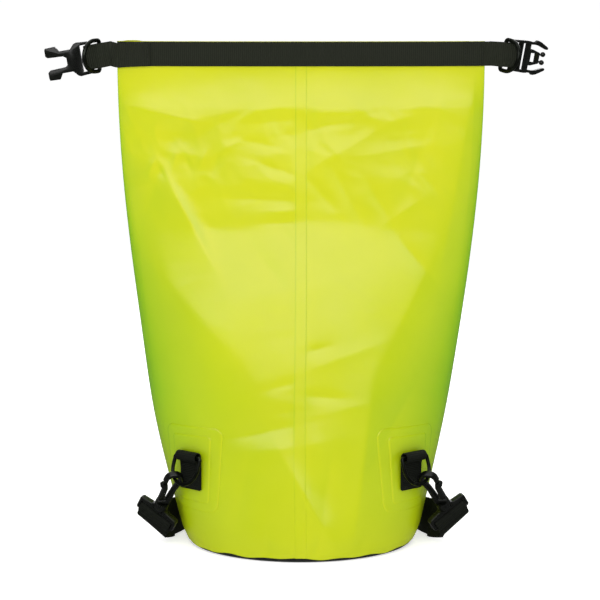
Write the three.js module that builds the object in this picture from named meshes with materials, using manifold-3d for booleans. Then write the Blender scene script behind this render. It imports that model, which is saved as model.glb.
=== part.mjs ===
// A roll-top dry bag of about 20 litres, standing empty with its mouth pulled flat.
// Millimetres, +Z up. The origin is the centre of the base's underside. The -Y side carries
// the vertical lap seam and the two low rings that the shoulder strap's snap hooks clip on.
import * as THREE from 'three';
import { mergeVertices } from 'three/addons/utils/BufferGeometryUtils.js';
import Module from 'manifold-3d';

const wasm = await Module();
wasm.setup();

// Bag body
const BASE_RADIUS = 117;
const BAG_HEIGHT = 508;
const FLAT_HALF_WIDTH = BASE_RADIUS * Math.PI / 2;
const TAPER_HEIGHT = 495;
const MOUTH_HALF_DEPTH = 6.5;
const TARP = 1.2;
const WELT_Z = 4;
const BASE_RIM_Z = 20;
const GAP = 0.35;

// Roll-top closure
const WEB_25 = 25;
const WEB = 1.6;
const ROLL_PITCH = 28;
const UPPER_FOLD_Z = BAG_HEIGHT - ROLL_PITCH;
const LOWER_FOLD_Z = UPPER_FOLD_Z - ROLL_PITCH;
const BAND_Z = BAG_HEIGHT - WEB_25 / 2;
const BAND_LOW_Z = BAG_HEIGHT - WEB_25 + 0.3;

// Low lugs
const LUG_X = 107;
const LUG_Z = 85.5;
const LUG_TURN = THREE.MathUtils.degToRad(44.5);
const LUG_BAR_Z = 98.5;
const LUG_BAR_OUT = 8.2;
const LUG_WEB = 30;
const RING_WIRE = 4.4;
const RING_STRAIGHT = 11;
const RING_LEAN = THREE.MathUtils.degToRad(18);

// Shoulder strap
const STRAP_WIDTH = 38;
const STRAP = 2.2;
const TAIL_REACH = 66;

const YELLOW = { color: 0xd3de2e, roughness: 0.42, metalness: 0 };
const YELLOW_DEEP = { color: 0xb7d024, roughness: 0.42, metalness: 0 };
const BLACK_TARP = { color: 0x23251f, roughness: 0.55, metalness: 0 };
const BLACK_WEB = { color: 0x2b2e26, roughness: 0.9, metalness: 0 };
const BLACK_PLASTIC = { color: 0x1c1e1b, roughness: 0.38, metalness: 0 };
const BLACK_METAL = { color: 0x24261f, roughness: 0.3, metalness: 0.6 };
const CLEAR_STIFFENER = { color: 0x8f958c, roughness: 0.5, metalness: 0 };

// ---------------------------------------------------------------- helpers

function part(name, geometry, finish) {
  const mesh = new THREE.Mesh(geometry, new THREE.MeshStandardMaterial(finish));
  mesh.name = name;
  return mesh;
}

function signedVolume(points, faces) {
  let total = 0;
  for (let i = 0; i < faces.length; i += 3) {
    const cross = points[faces[i + 1]].clone().cross(points[faces[i + 2]]);
    total += points[faces[i]].dot(cross);
  }
  return total / 6;
}

function closedGeometry(points, faces) {
  const outward = signedVolume(points, faces) > 0;
  const index = [];
  for (let i = 0; i < faces.length; i += 3) {
    const [a, b, c] = [faces[i], faces[i + 1], faces[i + 2]];
    index.push(...(outward ? [a, b, c] : [a, c, b]));
  }
  const geometry = new THREE.BufferGeometry().setFromPoints(points);
  geometry.setIndex(index);
  return geometry;
}

// Joins loops of equal count into a tube; a ring-shaped solid closes on its first loop, and any
// other has a fan over each end.
function loftLoops(loops, closesOnItself) {
  const count = loops[0].length;
  const points = loops.flat();
  const faces = [];
  const bands = closesOnItself ? loops.length : loops.length - 1;
  for (let i = 0; i < bands; i += 1) {
    const low = i * count;
    const high = ((i + 1) % loops.length) * count;
    for (let j = 0; j < count; j += 1) {
      const k = (j + 1) % count;
      faces.push(low + j, low + k, high + k, low + j, high + k, high + j);
    }
  }
  if (!closesOnItself) {
    addFan(points, faces, loops[0], 0, true);
    addFan(points, faces, loops.at(-1), (loops.length - 1) * count, false);
  }
  return closedGeometry(points, faces);
}

function addFan(points, faces, loop, start, reversed) {
  const centre = loop.reduce((sum, p) => sum.add(p), new THREE.Vector3()).divideScalar(loop.length);
  const hub = points.push(centre) - 1;
  for (let j = 0; j < loop.length; j += 1) {
    const a = start + j;
    const b = start + (j + 1) % loop.length;
    faces.push(...(reversed ? [hub, b, a] : [hub, a, b]));
  }
}

// A sheet with thickness: pointAt(u, v, side) gives its back face (side 0) and its front (side 1).
function slab(pointAt, columns, rows) {
  const points = [];
  const at = (i, j, side) => (side * (rows + 1) + j) * (columns + 1) + i;
  for (let side = 0; side < 2; side += 1) {
    for (let j = 0; j <= rows; j += 1) {
      for (let i = 0; i <= columns; i += 1) points.push(pointAt(i / columns, j / rows, side));
    }
  }
  const faces = [];
  const quad = (a, b, c, d) => faces.push(a, b, c, a, c, d);
  for (let j = 0; j < rows; j += 1) {
    for (let i = 0; i < columns; i += 1) {
      quad(at(i, j, 1), at(i + 1, j, 1), at(i + 1, j + 1, 1), at(i, j + 1, 1));
      quad(at(i, j, 0), at(i, j + 1, 0), at(i + 1, j + 1, 0), at(i + 1, j, 0));
    }
    quad(at(0, j, 0), at(0, j, 1), at(0, j + 1, 1), at(0, j + 1, 0));
    quad(at(columns, j, 0), at(columns, j + 1, 0), at(columns, j + 1, 1), at(columns, j, 1));
  }
  for (let i = 0; i < columns; i += 1) {
    quad(at(i, 0, 0), at(i + 1, 0, 0), at(i + 1, 0, 1), at(i, 0, 1));
    quad(at(i, rows, 0), at(i, rows, 1), at(i + 1, rows, 1), at(i + 1, rows, 0));
  }
  return closedGeometry(points, faces);
}

// An outline drawn in (x, z), made into a plate centred on y = 0 with softened edges.
function plate(shape, thickness, bevel) {
  const geometry = new THREE.ExtrudeGeometry(shape, {
    depth: thickness - 2 * bevel,
    bevelEnabled: bevel > 0,
    bevelThickness: bevel,
    bevelSize: bevel,
    bevelOffset: -bevel,
    bevelSegments: 2,
    curveSegments: 7,
  });
  geometry.translate(0, 0, bevel - thickness / 2);
  return geometry.rotateX(Math.PI / 2);
}

// An outline drawn in (outward, up), made into a prism that runs along x, with outward as -y.
function prismAlongX(shape, length) {
  const geometry = new THREE.ExtrudeGeometry(shape, {
    depth: length,
    bevelEnabled: false,
    curveSegments: 9,
  });
  geometry.translate(0, 0, -length / 2);
  const turn = new THREE.Matrix4().makeBasis(
    new THREE.Vector3(0, -1, 0),
    new THREE.Vector3(0, 0, 1),
    new THREE.Vector3(-1, 0, 0),
  );
  return geometry.applyMatrix4(turn);
}

// An outline drawn in (x, y), made into a prism that runs along z.
function prismAlongZ(shape, length) {
  const geometry = new THREE.ExtrudeGeometry(shape, {
    depth: length,
    bevelEnabled: false,
    curveSegments: 9,
  });
  return geometry.translate(0, 0, -length / 2);
}

function toSolid(geometry) {
  let bare = geometry.clone();
  bare.deleteAttribute('normal');
  bare.deleteAttribute('uv');
  bare = mergeVertices(bare, 1e-3);
  return new wasm.Manifold(new wasm.Mesh({
    numProp: 3,
    vertProperties: new Float32Array(bare.attributes.position.array),
    triVerts: new Uint32Array(bare.index.array),
  }));
}

function toGeometry(solid) {
  const mesh = solid.getMesh();
  const geometry = new THREE.BufferGeometry();
  geometry.setAttribute('position', new THREE.BufferAttribute(mesh.vertProperties, 3));
  geometry.setIndex(new THREE.BufferAttribute(mesh.triVerts, 1));
  return geometry;
}

function join(...geometries) {
  return toGeometry(geometries.map(toSolid).reduce((all, one) => all.add(one)));
}

function cut(body, ...tools) {
  return toGeometry(tools.map(toSolid).reduce((rest, tool) => rest.subtract(tool), toSolid(body)));
}

function block(lowX, highX, halfY, lowZ, highZ) {
  const geometry = new THREE.BoxGeometry(highX - lowX, 2 * halfY, highZ - lowZ);
  return geometry.translate((lowX + highX) / 2, 0, (lowZ + highZ) / 2);
}

function polygon(points) {
  return new THREE.Shape(points.map(([x, y]) => new THREE.Vector2(x, y)));
}

function mirroredUp(points) {
  return [...points, ...points.map(([x, z]) => [x, -z]).reverse()];
}

// ---------------------------------------------------------------- the bag's own surface

// Half the bag's width at height z: a round base that flattens to a straight mouth.
function halfWidth(z) {
  const rise = Math.sin(Math.PI / 2 * Math.min(1, z / TAPER_HEIGHT));
  return BASE_RADIUS + (FLAT_HALF_WIDTH - BASE_RADIUS) * rise;
}

function ellipseGirth(a, b) {
  return Math.PI * (3 * (a + b) - Math.sqrt((3 * a + b) * (a + 3 * b)));
}

// Half its depth: the cloth keeps one girth, so the depth follows from the width.
function halfDepth(z) {
  const girth = 2 * Math.PI * BASE_RADIUS;
  let low = MOUTH_HALF_DEPTH;
  let high = BASE_RADIUS;
  for (let step = 0; step < 30; step += 1) {
    const middle = (low + high) / 2;
    if (ellipseGirth(halfWidth(z), middle) > girth) high = middle;
    else low = middle;
  }
  return low;
}

function bagLoop(z, inset) {
  const count = 48;
  const a = halfWidth(z) - inset;
  const b = halfDepth(z) - inset;
  return Array.from({ length: count }, (_, j) => {
    const angle = 2 * Math.PI * j / count;
    return new THREE.Vector3(a * Math.cos(angle), b * Math.sin(angle), z);
  });
}

function bagTube(lowZ, highZ, rows, inset) {
  const heights = Array.from({ length: rows + 1 }, (_, i) => lowZ + (highZ - lowZ) * i / rows);
  const outside = heights.map((z) => bagLoop(z, inset));
  const inside = heights.map((z) => bagLoop(z, inset + TARP)).reverse();
  return loftLoops([...outside, ...inside], true);
}

function frontY(x, z) {
  const ratio = Math.min(1, Math.abs(x) / halfWidth(z));
  return -halfDepth(z) * Math.sqrt(1 - ratio * ratio);
}

// A point on the front wall, offset outward; x is measured along the wall from the lug's centre.
function lugWallPoint(side, along, z, offset) {
  const a = halfWidth(z);
  const b = halfDepth(z);
  const middle = Math.acos(LUG_X / a);
  const speed = Math.hypot(a * Math.sin(middle), b * Math.cos(middle));
  const angle = middle - along / speed;
  const normal = new THREE.Vector2(Math.cos(angle) / a, Math.sin(angle) / b).normalize();
  const x = a * Math.cos(angle) + offset * normal.x;
  const y = b * Math.sin(angle) + offset * normal.y;
  return new THREE.Vector3(side * x, -y, z);
}

// ---------------------------------------------------------------- bag parts

function bagWall() {
  return part('bag_wall', bagTube(WELT_Z, LOWER_FOLD_Z - GAP, 12, 0), YELLOW);
}

function rollPanel() {
  return part('roll_panel', bagTube(LOWER_FOLD_Z, UPPER_FOLD_Z - GAP, 2, 0), YELLOW);
}

function mouthHem() {
  return part('mouth_hem', bagTube(UPPER_FOLD_Z, BAG_HEIGHT, 2, 0), YELLOW);
}

// The round floor, whose edge turns up to meet the wall's foot.
function basePanel() {
  const top = WELT_Z - 0.4;
  const loops = [
    bagLoop(0, 4),
    bagLoop(1.4, 1.2),
    bagLoop(top, 0.6),
    bagLoop(top, 2.4),
    bagLoop(TARP + 0.6, 6),
  ];
  return part('base_panel', loftLoops(loops, false), BLACK_TARP);
}

// The floor's turned-up flange, welded to the inside of the wall.
function baseWeldRim() {
  return part('base_weld_rim', bagTube(WELT_Z, BASE_RIM_Z, 1, TARP + GAP), BLACK_TARP);
}

// The flexible batten that lies inside the front of the mouth and keeps the roll straight.
function stiffenerStrip() {
  const reach = 166;
  const geometry = slab((u, v, side) => {
    const x = (2 * u - 1) * reach;
    const z = UPPER_FOLD_Z + 3 + v * (ROLL_PITCH - 6);
    return new THREE.Vector3(x, frontY(x, z) + TARP + 1.6 - side * 0.9, z);
  }, 24, 1);
  return part('stiffener_strip', geometry, CLEAR_STIFFENER);
}

// Flat webbing laid on the front of the mouth between two x values, at a depth off the tarpaulin.
function bandOnMouth(name, fromX, toX, lift, lowerZ) {
  const geometry = slab((u, v, side) => {
    const x = fromX + (toX - fromX) * u;
    const z = lowerZ + v * (WEB_25 - 0.6);
    return new THREE.Vector3(x, frontY(x, BAND_Z) - lift - side * WEB, z);
  }, Math.ceil(Math.abs(toX - fromX) / 13), 1);
  return part(name, geometry, BLACK_WEB);
}

function weldedPatch(name, side, halfAlong, halfUp, corner, offset, finish) {
  const thickness = 0.6;
  const geometry = slab((u, v, face) => {
    const up = (2 * v - 1) * halfUp;
    const past = Math.max(0, Math.abs(up) - (halfUp - corner));
    const reach = halfAlong - corner + Math.sqrt(Math.max(0.04, corner * corner - past * past));
    return lugWallPoint(side, (2 * u - 1) * reach, LUG_Z + up, offset + face * thickness);
  }, 6, 10);
  return part(name, geometry, finish);
}

// ---------------------------------------------------------------- D-rings

// A D-ring drawn with its straight bar along x at the origin and its bow below.
function dRing(halfInner, straight, wire) {
  const half = wire / 2;
  const outer = halfInner + wire;
  const ring = new THREE.Shape();
  ring.moveTo(-outer + half, half);
  ring.absarc(-outer + half, 0, half, Math.PI / 2, Math.PI, false);
  ring.absarc(0, -straight, outer, Math.PI, 2 * Math.PI, false);
  ring.absarc(outer - half, 0, half, 0, Math.PI / 2, false);
  const hole = new THREE.Path();
  hole.moveTo(halfInner, -half);
  hole.lineTo(halfInner, -straight);
  hole.absarc(0, -straight, halfInner, 0, -Math.PI, true);
  hole.lineTo(-halfInner, -half);
  ring.holes.push(hole);
  const geometry = new THREE.ExtrudeGeometry(ring, {
    depth: wire - 2 * wire * 0.29,
    bevelEnabled: true,
    bevelThickness: wire * 0.29,
    bevelSize: wire * 0.29,
    bevelOffset: -wire * 0.29,
    bevelSegments: 1,
    curveSegments: 10,
  });
  geometry.translate(0, 0, -(wire - 2 * wire * 0.29) / 2);
  return geometry.rotateX(Math.PI / 2);
}

// ---------------------------------------------------------------- low lugs

// Webbing that rises flat from below, rolls over the ring's bar and tucks back on itself.
function lugTab(name) {
  const roll = 5.2;
  const back = LUG_BAR_OUT - roll;
  const front = back + 2;
  const meet = Math.PI + Math.acos((LUG_BAR_OUT - front) / roll);
  const outline = new THREE.Shape();
  outline.moveTo(back, LUG_BAR_Z);
  outline.lineTo(back, LUG_Z - 20);
  outline.lineTo(front, LUG_Z - 20);
  outline.absarc(LUG_BAR_OUT, LUG_BAR_Z, roll, meet, 3 * Math.PI, false);
  const eye = new THREE.Path();
  eye.absarc(LUG_BAR_OUT, LUG_BAR_Z, 2.9, 0, 2 * Math.PI, true);
  outline.holes.push(eye);
  return part(name, prismAlongX(outline, LUG_WEB), BLACK_WEB);
}

function lowLug(side, sideName) {
  const lug = new THREE.Group();
  lug.position.set(side * LUG_X, frontY(LUG_X, LUG_Z), 0);
  lug.rotation.z = side * LUG_TURN;
  lug.add(lugTab(`${sideName}_lug_tab`));
  const bow = dRing(LUG_WEB / 2 + 0.4, RING_STRAIGHT, RING_WIRE);
  const ring = part(`${sideName}_low_ring`, bow, BLACK_METAL);
  ring.position.set(0, -LUG_BAR_OUT, LUG_BAR_Z);
  ring.rotation.x = -RING_LEAN;
  lug.add(ring);
  return lug;
}

// ---------------------------------------------------------------- snap hooks

// Drawn in its own frame: the ring's wire crosses at the origin, the hook hangs down -z.
const EYE_INNER = 5.4;
const EYE_OUTER = 9.6;
const EYE_DROP = 1.9;
const SHANK_FOOT = 37.5;
const HOOK_TURN = THREE.MathUtils.degToRad(42);

function hookBody(name) {
  const outline = new THREE.Shape();
  outline.moveTo(-6.2, -SHANK_FOOT);
  outline.lineTo(6.2, -SHANK_FOOT);
  outline.lineTo(6.8, -SHANK_FOOT + 4);
  outline.lineTo(6.6, -15);
  outline.lineTo(EYE_OUTER, -EYE_DROP);
  outline.absarc(0, -EYE_DROP, EYE_OUTER, 0, Math.PI, false);
  outline.lineTo(-EYE_OUTER, -EYE_DROP - 4.5);
  outline.lineTo(-EYE_INNER, -EYE_DROP - 6);
  outline.absarc(0, -EYE_DROP, EYE_INNER, Math.PI, 0, true);
  outline.lineTo(2.5, -15);
  outline.lineTo(1, -SHANK_FOOT + 5.4);
  outline.lineTo(-6.8, -SHANK_FOOT + 3.6);
  const stem = new THREE.CylinderGeometry(3.1, 3.1, 9.4, 20).rotateX(Math.PI / 2);
  stem.translate(0, 0, -SHANK_FOOT - 4.2);
  const head = new THREE.CylinderGeometry(4.9, 4.9, 2, 20).rotateX(Math.PI / 2);
  head.translate(0, 0, -SHANK_FOOT - 9.2);
  return part(name, join(plate(outline, 7, 1.2), stem, head), BLACK_PLASTIC);
}

// The sprung side of the hook, with a thumb bump near its tip; it turns about its foot.
const GATE_FOOT = [-4.2, -SHANK_FOOT + 5.6];

function hookGate(name) {
  const outline = polygon([
    [-6.6, -SHANK_FOOT + 4.3], [-1, -SHANK_FOOT + 5.5], [-2.1, -15], [-4, -9.8], [-5.2, -9.4],
    [-9.4, -8.9], [-11.2, -11.6], [-10.6, -13.4], [-6.9, -15.6],
  ]);
  const geometry = plate(outline, 5.6, 0.7).translate(-GATE_FOOT[0], 0, -GATE_FOOT[1]);
  const gate = part(name, geometry, BLACK_PLASTIC);
  gate.position.set(GATE_FOOT[0], 0, GATE_FOOT[1]);
  return gate;
}

// The swivel base: a collar round the hook's stem, and a wide frame with the strap's slot.
const COLLAR_TOP = SHANK_FOOT + 0.5;

function hookBase(name) {
  const flare = [
    [5.5, -COLLAR_TOP - 5], [9, -COLLAR_TOP - 8], [21, -COLLAR_TOP - 9.5], [22.5, -COLLAR_TOP - 11],
    [22.5, -61.4], [21, -62.8],
  ];
  const outline = polygon([...flare.map(([x, z]) => [-x, z]), ...flare.toReversed()]);
  const body = join(
    plate(outline, 6.4, 0.9),
    new THREE.CylinderGeometry(7.4, 7, 9.6, 24).rotateX(Math.PI / 2).translate(0, 0, -COLLAR_TOP - 4.8),
  );
  const slot = block(-19.6, 19.6, 10, -59.2, -51.5);
  const throat = new THREE.CylinderGeometry(3.5, 3.5, 12, 20).rotateX(Math.PI / 2);
  throat.translate(0, 0, -COLLAR_TOP - 3);
  const chamber = block(-5.4, 5.4, 9, -COLLAR_TOP - 10.4, -COLLAR_TOP - 7);
  return part(name, cut(body, slot, throat, chamber), BLACK_PLASTIC);
}

// The strap's sewn end: it wraps the base's lower bar and closes into a doubled tail.
function strapEnd(name) {
  const outline = new THREE.Shape();
  outline.moveTo(-STRAP, -TAIL_REACH);
  outline.lineTo(STRAP, -TAIL_REACH);
  outline.lineTo(5.4, -62.6);
  outline.lineTo(5.4, -57);
  outline.absarc(3, -56, 2.4, 0, Math.PI / 2, false);
  outline.lineTo(-3, -53.6);
  outline.absarc(-3, -56, 2.4, Math.PI / 2, Math.PI, false);
  outline.lineTo(-5.4, -62.6);
  const eye = new THREE.Path();
  eye.moveTo(-3.6, -63.2);
  eye.lineTo(-3.6, -55.6);
  eye.lineTo(3.6, -55.6);
  eye.lineTo(3.6, -63.2);
  outline.holes.push(eye);
  return part(name, prismAlongX(outline, STRAP_WIDTH - 1), BLACK_WEB);
}

// Where the left hook hangs and how it leans; the right one is its mirror image, a little wider.
function hookFrame(side) {
  const lean = new THREE.Vector3(0.34, 0.55, -0.763);
  const across = new THREE.Vector3(0.8, 0.3, 0.52);
  const tangent = new THREE.Vector3(-Math.cos(LUG_TURN), Math.sin(LUG_TURN), 0);
  if (side > 0) lean.x += 0.07;
  const down = new THREE.Vector3(side * lean.x, lean.y, lean.z).normalize();
  const along = tangent.clone().multiply(new THREE.Vector3(-side, 1, 1));
  const outward = new THREE.Vector3(side * Math.sin(LUG_TURN), -Math.cos(LUG_TURN), 0);
  const ringDown = outward.clone().multiplyScalar(Math.sin(RING_LEAN)).setZ(-Math.cos(RING_LEAN));
  const pull = along.multiplyScalar(down.dot(along)).addScaledVector(ringDown, down.dot(ringDown));
  const origin = new THREE.Vector3(side * LUG_X, frontY(LUG_X, LUG_Z), LUG_BAR_Z)
    .addScaledVector(outward, LUG_BAR_OUT)
    .addScaledVector(ringDown, RING_STRAIGHT)
    .addScaledVector(pull.normalize(), LUG_WEB / 2 + 0.4 + RING_WIRE / 2);
  const up = down.clone().negate();
  const x = new THREE.Vector3(side * across.x, across.y, across.z);
  x.addScaledVector(up, -x.dot(up)).normalize();
  return { origin, down, up, x, y: up.clone().cross(x) };
}

function snapHook(side, sideName) {
  const frame = hookFrame(side);
  const group = new THREE.Group();
  group.position.copy(frame.origin);
  group.quaternion.setFromRotationMatrix(new THREE.Matrix4().makeBasis(frame.x, frame.y, frame.up));
  const upper = new THREE.Group();
  upper.rotation.z = Math.PI - side * HOOK_TURN;
  upper.add(hookBody(`${sideName}_hook`), hookGate(`${sideName}_gate`));
  group.add(upper, hookBase(`${sideName}_hook_base`), strapEnd(`${sideName}_strap_end`));
  return group;
}

// ---------------------------------------------------------------- shoulder strap

// The strap leaves each hook downward, doubles back under it, turns on edge and lies round the
// back of the bag on the ground. Each station is a point and the direction of the strap's width.
const LEFT_STRAP_STATIONS = [
  [[-149.5, -24.8, 23.9], [0.79, -0.28, -0.55]],
  [[-151.1, -21.7, 20.2], [0.78, -0.27, -0.57]],
  [[-150.9, -16.7, 17.9], [0.75, -0.26, -0.61]],
  [[-148.3, -12.2, 19.3], [0.68, -0.24, -0.69]],
  [[-137, 3, 19.8], [0.4, -0.14, -0.9]],
  [[-132.5, 17, 19.6], [0.13, -0.04, -0.99]],
];
const RIGHT_STRAP_STATIONS = [
  [[153.8, -25.4, 25.5], [-0.77, -0.25, -0.59]],
  [[155.6, -22.4, 21.9], [-0.76, -0.25, -0.61]],
  [[155.8, -17.4, 19.6], [-0.73, -0.24, -0.64]],
  [[153.3, -12.8, 20.9], [-0.66, -0.22, -0.72]],
  [[137, 3, 19.8], [-0.39, -0.13, -0.91]],
  [[132.5, 17, 19.6], [-0.12, -0.04, -0.99]],
];
const BELT_TURNS = 18;
const BELT_START = THREE.MathUtils.degToRad(165);
const BELT_END = THREE.MathUtils.degToRad(15);
const RETURN_START = 69;
const RETURN_SWEEP = 72;
const BELT_Z = STRAP_WIDTH / 2 + 0.4;
const BELT_HALF_X = 129.5;
const BELT_HALF_Y = 120.5;

function beltPoint(angle, lift) {
  const x = (BELT_HALF_X + lift) * Math.cos(angle);
  const y = (BELT_HALF_Y + lift) * Math.sin(angle);
  return new THREE.Vector3(x, y, BELT_Z);
}

function station([at, across]) {
  return { at: new THREE.Vector3(...at), across: new THREE.Vector3(...across).normalize() };
}

function beltStation(angle, lift) {
  return { at: beltPoint(angle, lift), across: new THREE.Vector3(0, 0, -1) };
}

function strapRoute() {
  const belt = Array.from({ length: BELT_TURNS + 1 }, (_, i) => (
    beltStation(BELT_START + (BELT_END - BELT_START) * i / BELT_TURNS, 0)
  ));
  return [...LEFT_STRAP_STATIONS.map(station), ...belt, ...RIGHT_STRAP_STATIONS.map(station).reverse()];
}

// A flat strap swept along stations that each give a point and the direction of its width.
function flatStrap(name, stations, steps, width, thickness) {
  const points = new THREE.CatmullRomCurve3(stations.map((s) => s.at), false, 'centripetal');
  const tips = new THREE.CatmullRomCurve3(stations.map((s) => s.across), false, 'catmullrom');
  const geometry = slab((u, v, side) => {
    const at = points.getPoint(v);
    const forward = points.getTangent(v);
    const across = tips.getPoint(v);
    across.addScaledVector(forward, -across.dot(forward)).normalize();
    const normal = forward.clone().cross(across);
    return at.addScaledVector(across, (u - 0.5) * width).addScaledVector(normal, (side - 0.5) * thickness);
  }, 1, steps);
  return part(name, geometry, BLACK_WEB);
}

// The part of the strap that the slider takes up lies doubled on the outside of the belt.
function strapReturn() {
  const turns = 12;
  const stations = Array.from({ length: turns + 1 }, (_, i) => (
    beltStation(THREE.MathUtils.degToRad(RETURN_START + RETURN_SWEEP * i / turns), STRAP + 0.6)
  ));
  return flatStrap('strap_return', stations, 14, STRAP_WIDTH - 0.4, STRAP - 0.4);
}

function strapSlider() {
  const angle = THREE.MathUtils.degToRad(61);
  const outline = polygon([[-13, -22.4], [13, -22.4], [13, 22.4], [-13, 22.4]]);
  const frame = cut(
    plate(outline, 3.2, 0.8),
    block(-9, -2, 5, -18.9, 18.9),
    block(2, 9, 5, -18.9, 18.9),
  );
  const slider = part('strap_slider', frame, BLACK_PLASTIC);
  slider.position.copy(beltPoint(angle, STRAP / 2 + 2.4)).setZ(22.8);
  const tangent = new THREE.Vector2(-BELT_HALF_X * Math.sin(angle), BELT_HALF_Y * Math.cos(angle));
  slider.rotation.z = tangent.angle();
  return slider;
}

// ---------------------------------------------------------------- mouth ends

// Both ends are drawn pointing along +x from the edge of the bag, with the webbing's width on z.
const RING_BAR = 11.5;
const BUCKLE_BAR = 20.6;
const LOOP_END = 26;

// Webbing folded round the ring's bar and the buckle's bar, its two layers sewn behind them.
function endLoop(name) {
  const half = 4.7;
  const outline = new THREE.Shape();
  outline.moveTo(0, -WEB);
  outline.lineTo(3.4, -WEB);
  outline.lineTo(6, -half);
  outline.lineTo(LOOP_END - 3, -half);
  outline.absarc(LOOP_END - 3, -half + 3, 3, -Math.PI / 2, 0, false);
  outline.absarc(LOOP_END - 3, half - 3, 3, 0, Math.PI / 2, false);
  outline.lineTo(6, half);
  outline.lineTo(3.4, WEB);
  outline.lineTo(0, WEB);
  const eye = new THREE.Path();
  eye.moveTo(5.2, -0.9);
  eye.lineTo(6.8, -half + WEB);
  eye.lineTo(LOOP_END - 3, -half + WEB);
  eye.lineTo(LOOP_END - WEB, -1.4);
  eye.lineTo(LOOP_END - WEB, 1.4);
  eye.lineTo(LOOP_END - 3, half - WEB);
  eye.lineTo(6.8, half - WEB);
  eye.lineTo(5.2, 0.9);
  outline.holes.push(eye);
  return part(name, prismAlongZ(outline, WEB_25 - 0.6), BLACK_WEB);
}

function endRing(name, side, lean) {
  const geometry = dRing(WEB_25 / 2 + 0.9, 7.5, 4.2).rotateY(-Math.PI / 2);
  const ring = part(name, geometry, BLACK_METAL);
  ring.position.set(RING_BAR, 0, 0);
  ring.rotation.order = 'YZX';
  ring.rotation.y = lean;
  ring.rotation.z = side * THREE.MathUtils.degToRad(52);
  return ring;
}

// Takes away the front and the back of a plate, down to a core of half thickness halfCore.
function thinningTool(lowX, highX, halfCore, halfZ) {
  const all = block(lowX, highX, 9, -halfZ, halfZ);
  return cut(all, block(lowX - 1, highX + 1, halfCore, -halfZ - 1, halfZ + 1));
}

// The socket half of the side-release buckle: a flat sleeve, open at the mouth and at both sides.
function buckleSocket() {
  const edge = [
    [-1.8, 14.8], [0.6, 16.2], [12, 17], [14.5, 16], [19, 11], [30, 11], [33.2, 16.6], [43.4, 16.2],
    [44, 14], [44, 8.2], [42, 6.4], [26.5, 5.6], [23.6, 3.6], [22.6, 0],
  ];
  const shell = plate(polygon(mirroredUp(edge.slice(0, -1))), 11, 1.4);
  const inside = block(16, 50, 3.3, -13.9, 13.9);
  const slot = block(1.9, 9, 8, -13.3, 13.3);
  const thinArms = thinningTool(-4, 7, 2.9, 20);
  const thinBar = thinningTool(-4, 4.2, 1.9, 13.3);
  return part('buckle_socket', cut(shell, inside, slot, thinArms, thinBar), BLACK_PLASTIC);
}

// The plug half: a ladder frame for the webbing, a centre guide that ends in two ball tips.
const PLUG_ROOT = 22;

function bucklePlug() {
  const frame = cut(
    plate(polygon(mirroredUp([[-1.8, 15.6], [PLUG_ROOT - 4, 16.4], [PLUG_ROOT, 16]])), 5, 0.8),
    block(1.8, 8.4, 6, -13.3, 13.3),
    block(11, PLUG_ROOT - 4.2, 6, -13.3, 13.3),
    thinningTool(-3, 4, 1.9, 13.3),
  );
  const guide = cut(
    plate(polygon(mirroredUp([[PLUG_ROOT - 1, 8.6], [PLUG_ROOT + 4, 8.2], [PLUG_ROOT + 14, 5.6]])), 4.4, 0.8),
    block(PLUG_ROOT + 1.4, PLUG_ROOT + 10.4, 6, -4.4, 4.4),
  );
  const tips = [-1, 1].flatMap((up) => {
    const stem = block(PLUG_ROOT + 12.5, PLUG_ROOT + 19, 1, up * 3.6 - 0.9, up * 3.6 + 0.9);
    const ball = new THREE.SphereGeometry(2.7, 12, 8).translate(PLUG_ROOT + 20, 0, up * 4.1);
    return [stem, ball];
  });
  return join(frame, guide, ...tips);
}

// A springing side prong with a catch that stands out past the frame.
function plugProng(name, up) {
  const outline = polygon([
    [0, 1.4], [6, 1.6], [8.5, 3.4], [13, 2.4], [23.4, -2.2], [24.4, -4], [22.6, -5], [12, -1.8], [6, -1.2],
    [0, -1.4],
  ].map(([x, z]) => [x, up * z]));
  const prong = part(name, plate(outline, 4.4, 0.6), BLACK_PLASTIC);
  prong.position.set(PLUG_ROOT + GAP, 0, up * 14.2);
  return prong;
}

function mouthEnd(side, sideName, startX, droop) {
  const end = new THREE.Group();
  end.position.set(side * startX, 0, BAND_Z);
  end.rotation.order = 'ZYX';
  end.rotation.z = side < 0 ? Math.PI : 0;
  end.rotation.y = droop;
  end.add(endLoop(`${sideName}_end_loop`));
  return end;
}

function leftMouthEnd() {
  const end = mouthEnd(-1, 'left', FLAT_HALF_WIDTH + 6.5, THREE.MathUtils.degToRad(10));
  end.add(endRing('left_top_ring', 1, THREE.MathUtils.degToRad(-9)));
  const socket = buckleSocket();
  socket.position.set(BUCKLE_BAR, 0, 0);
  end.add(socket);
  return end;
}

function rightMouthEnd() {
  const end = mouthEnd(1, 'right', FLAT_HALF_WIDTH + 6.9, THREE.MathUtils.degToRad(4));
  end.add(endRing('right_top_ring', -1, THREE.MathUtils.degToRad(9)));
  const plug = new THREE.Group();
  plug.position.set(BUCKLE_BAR, 0, 0);
  plug.rotation.order = 'YZX';
  plug.rotation.y = THREE.MathUtils.degToRad(6);
  plug.rotation.z = THREE.MathUtils.degToRad(40);
  plug.add(part('buckle_plug', bucklePlug(), BLACK_PLASTIC));
  plug.add(plugProng('plug_prong_upper', 1), plugProng('plug_prong_lower', -1));
  end.add(plug);
  return end;
}

// ---------------------------------------------------------------- assembly

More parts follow.
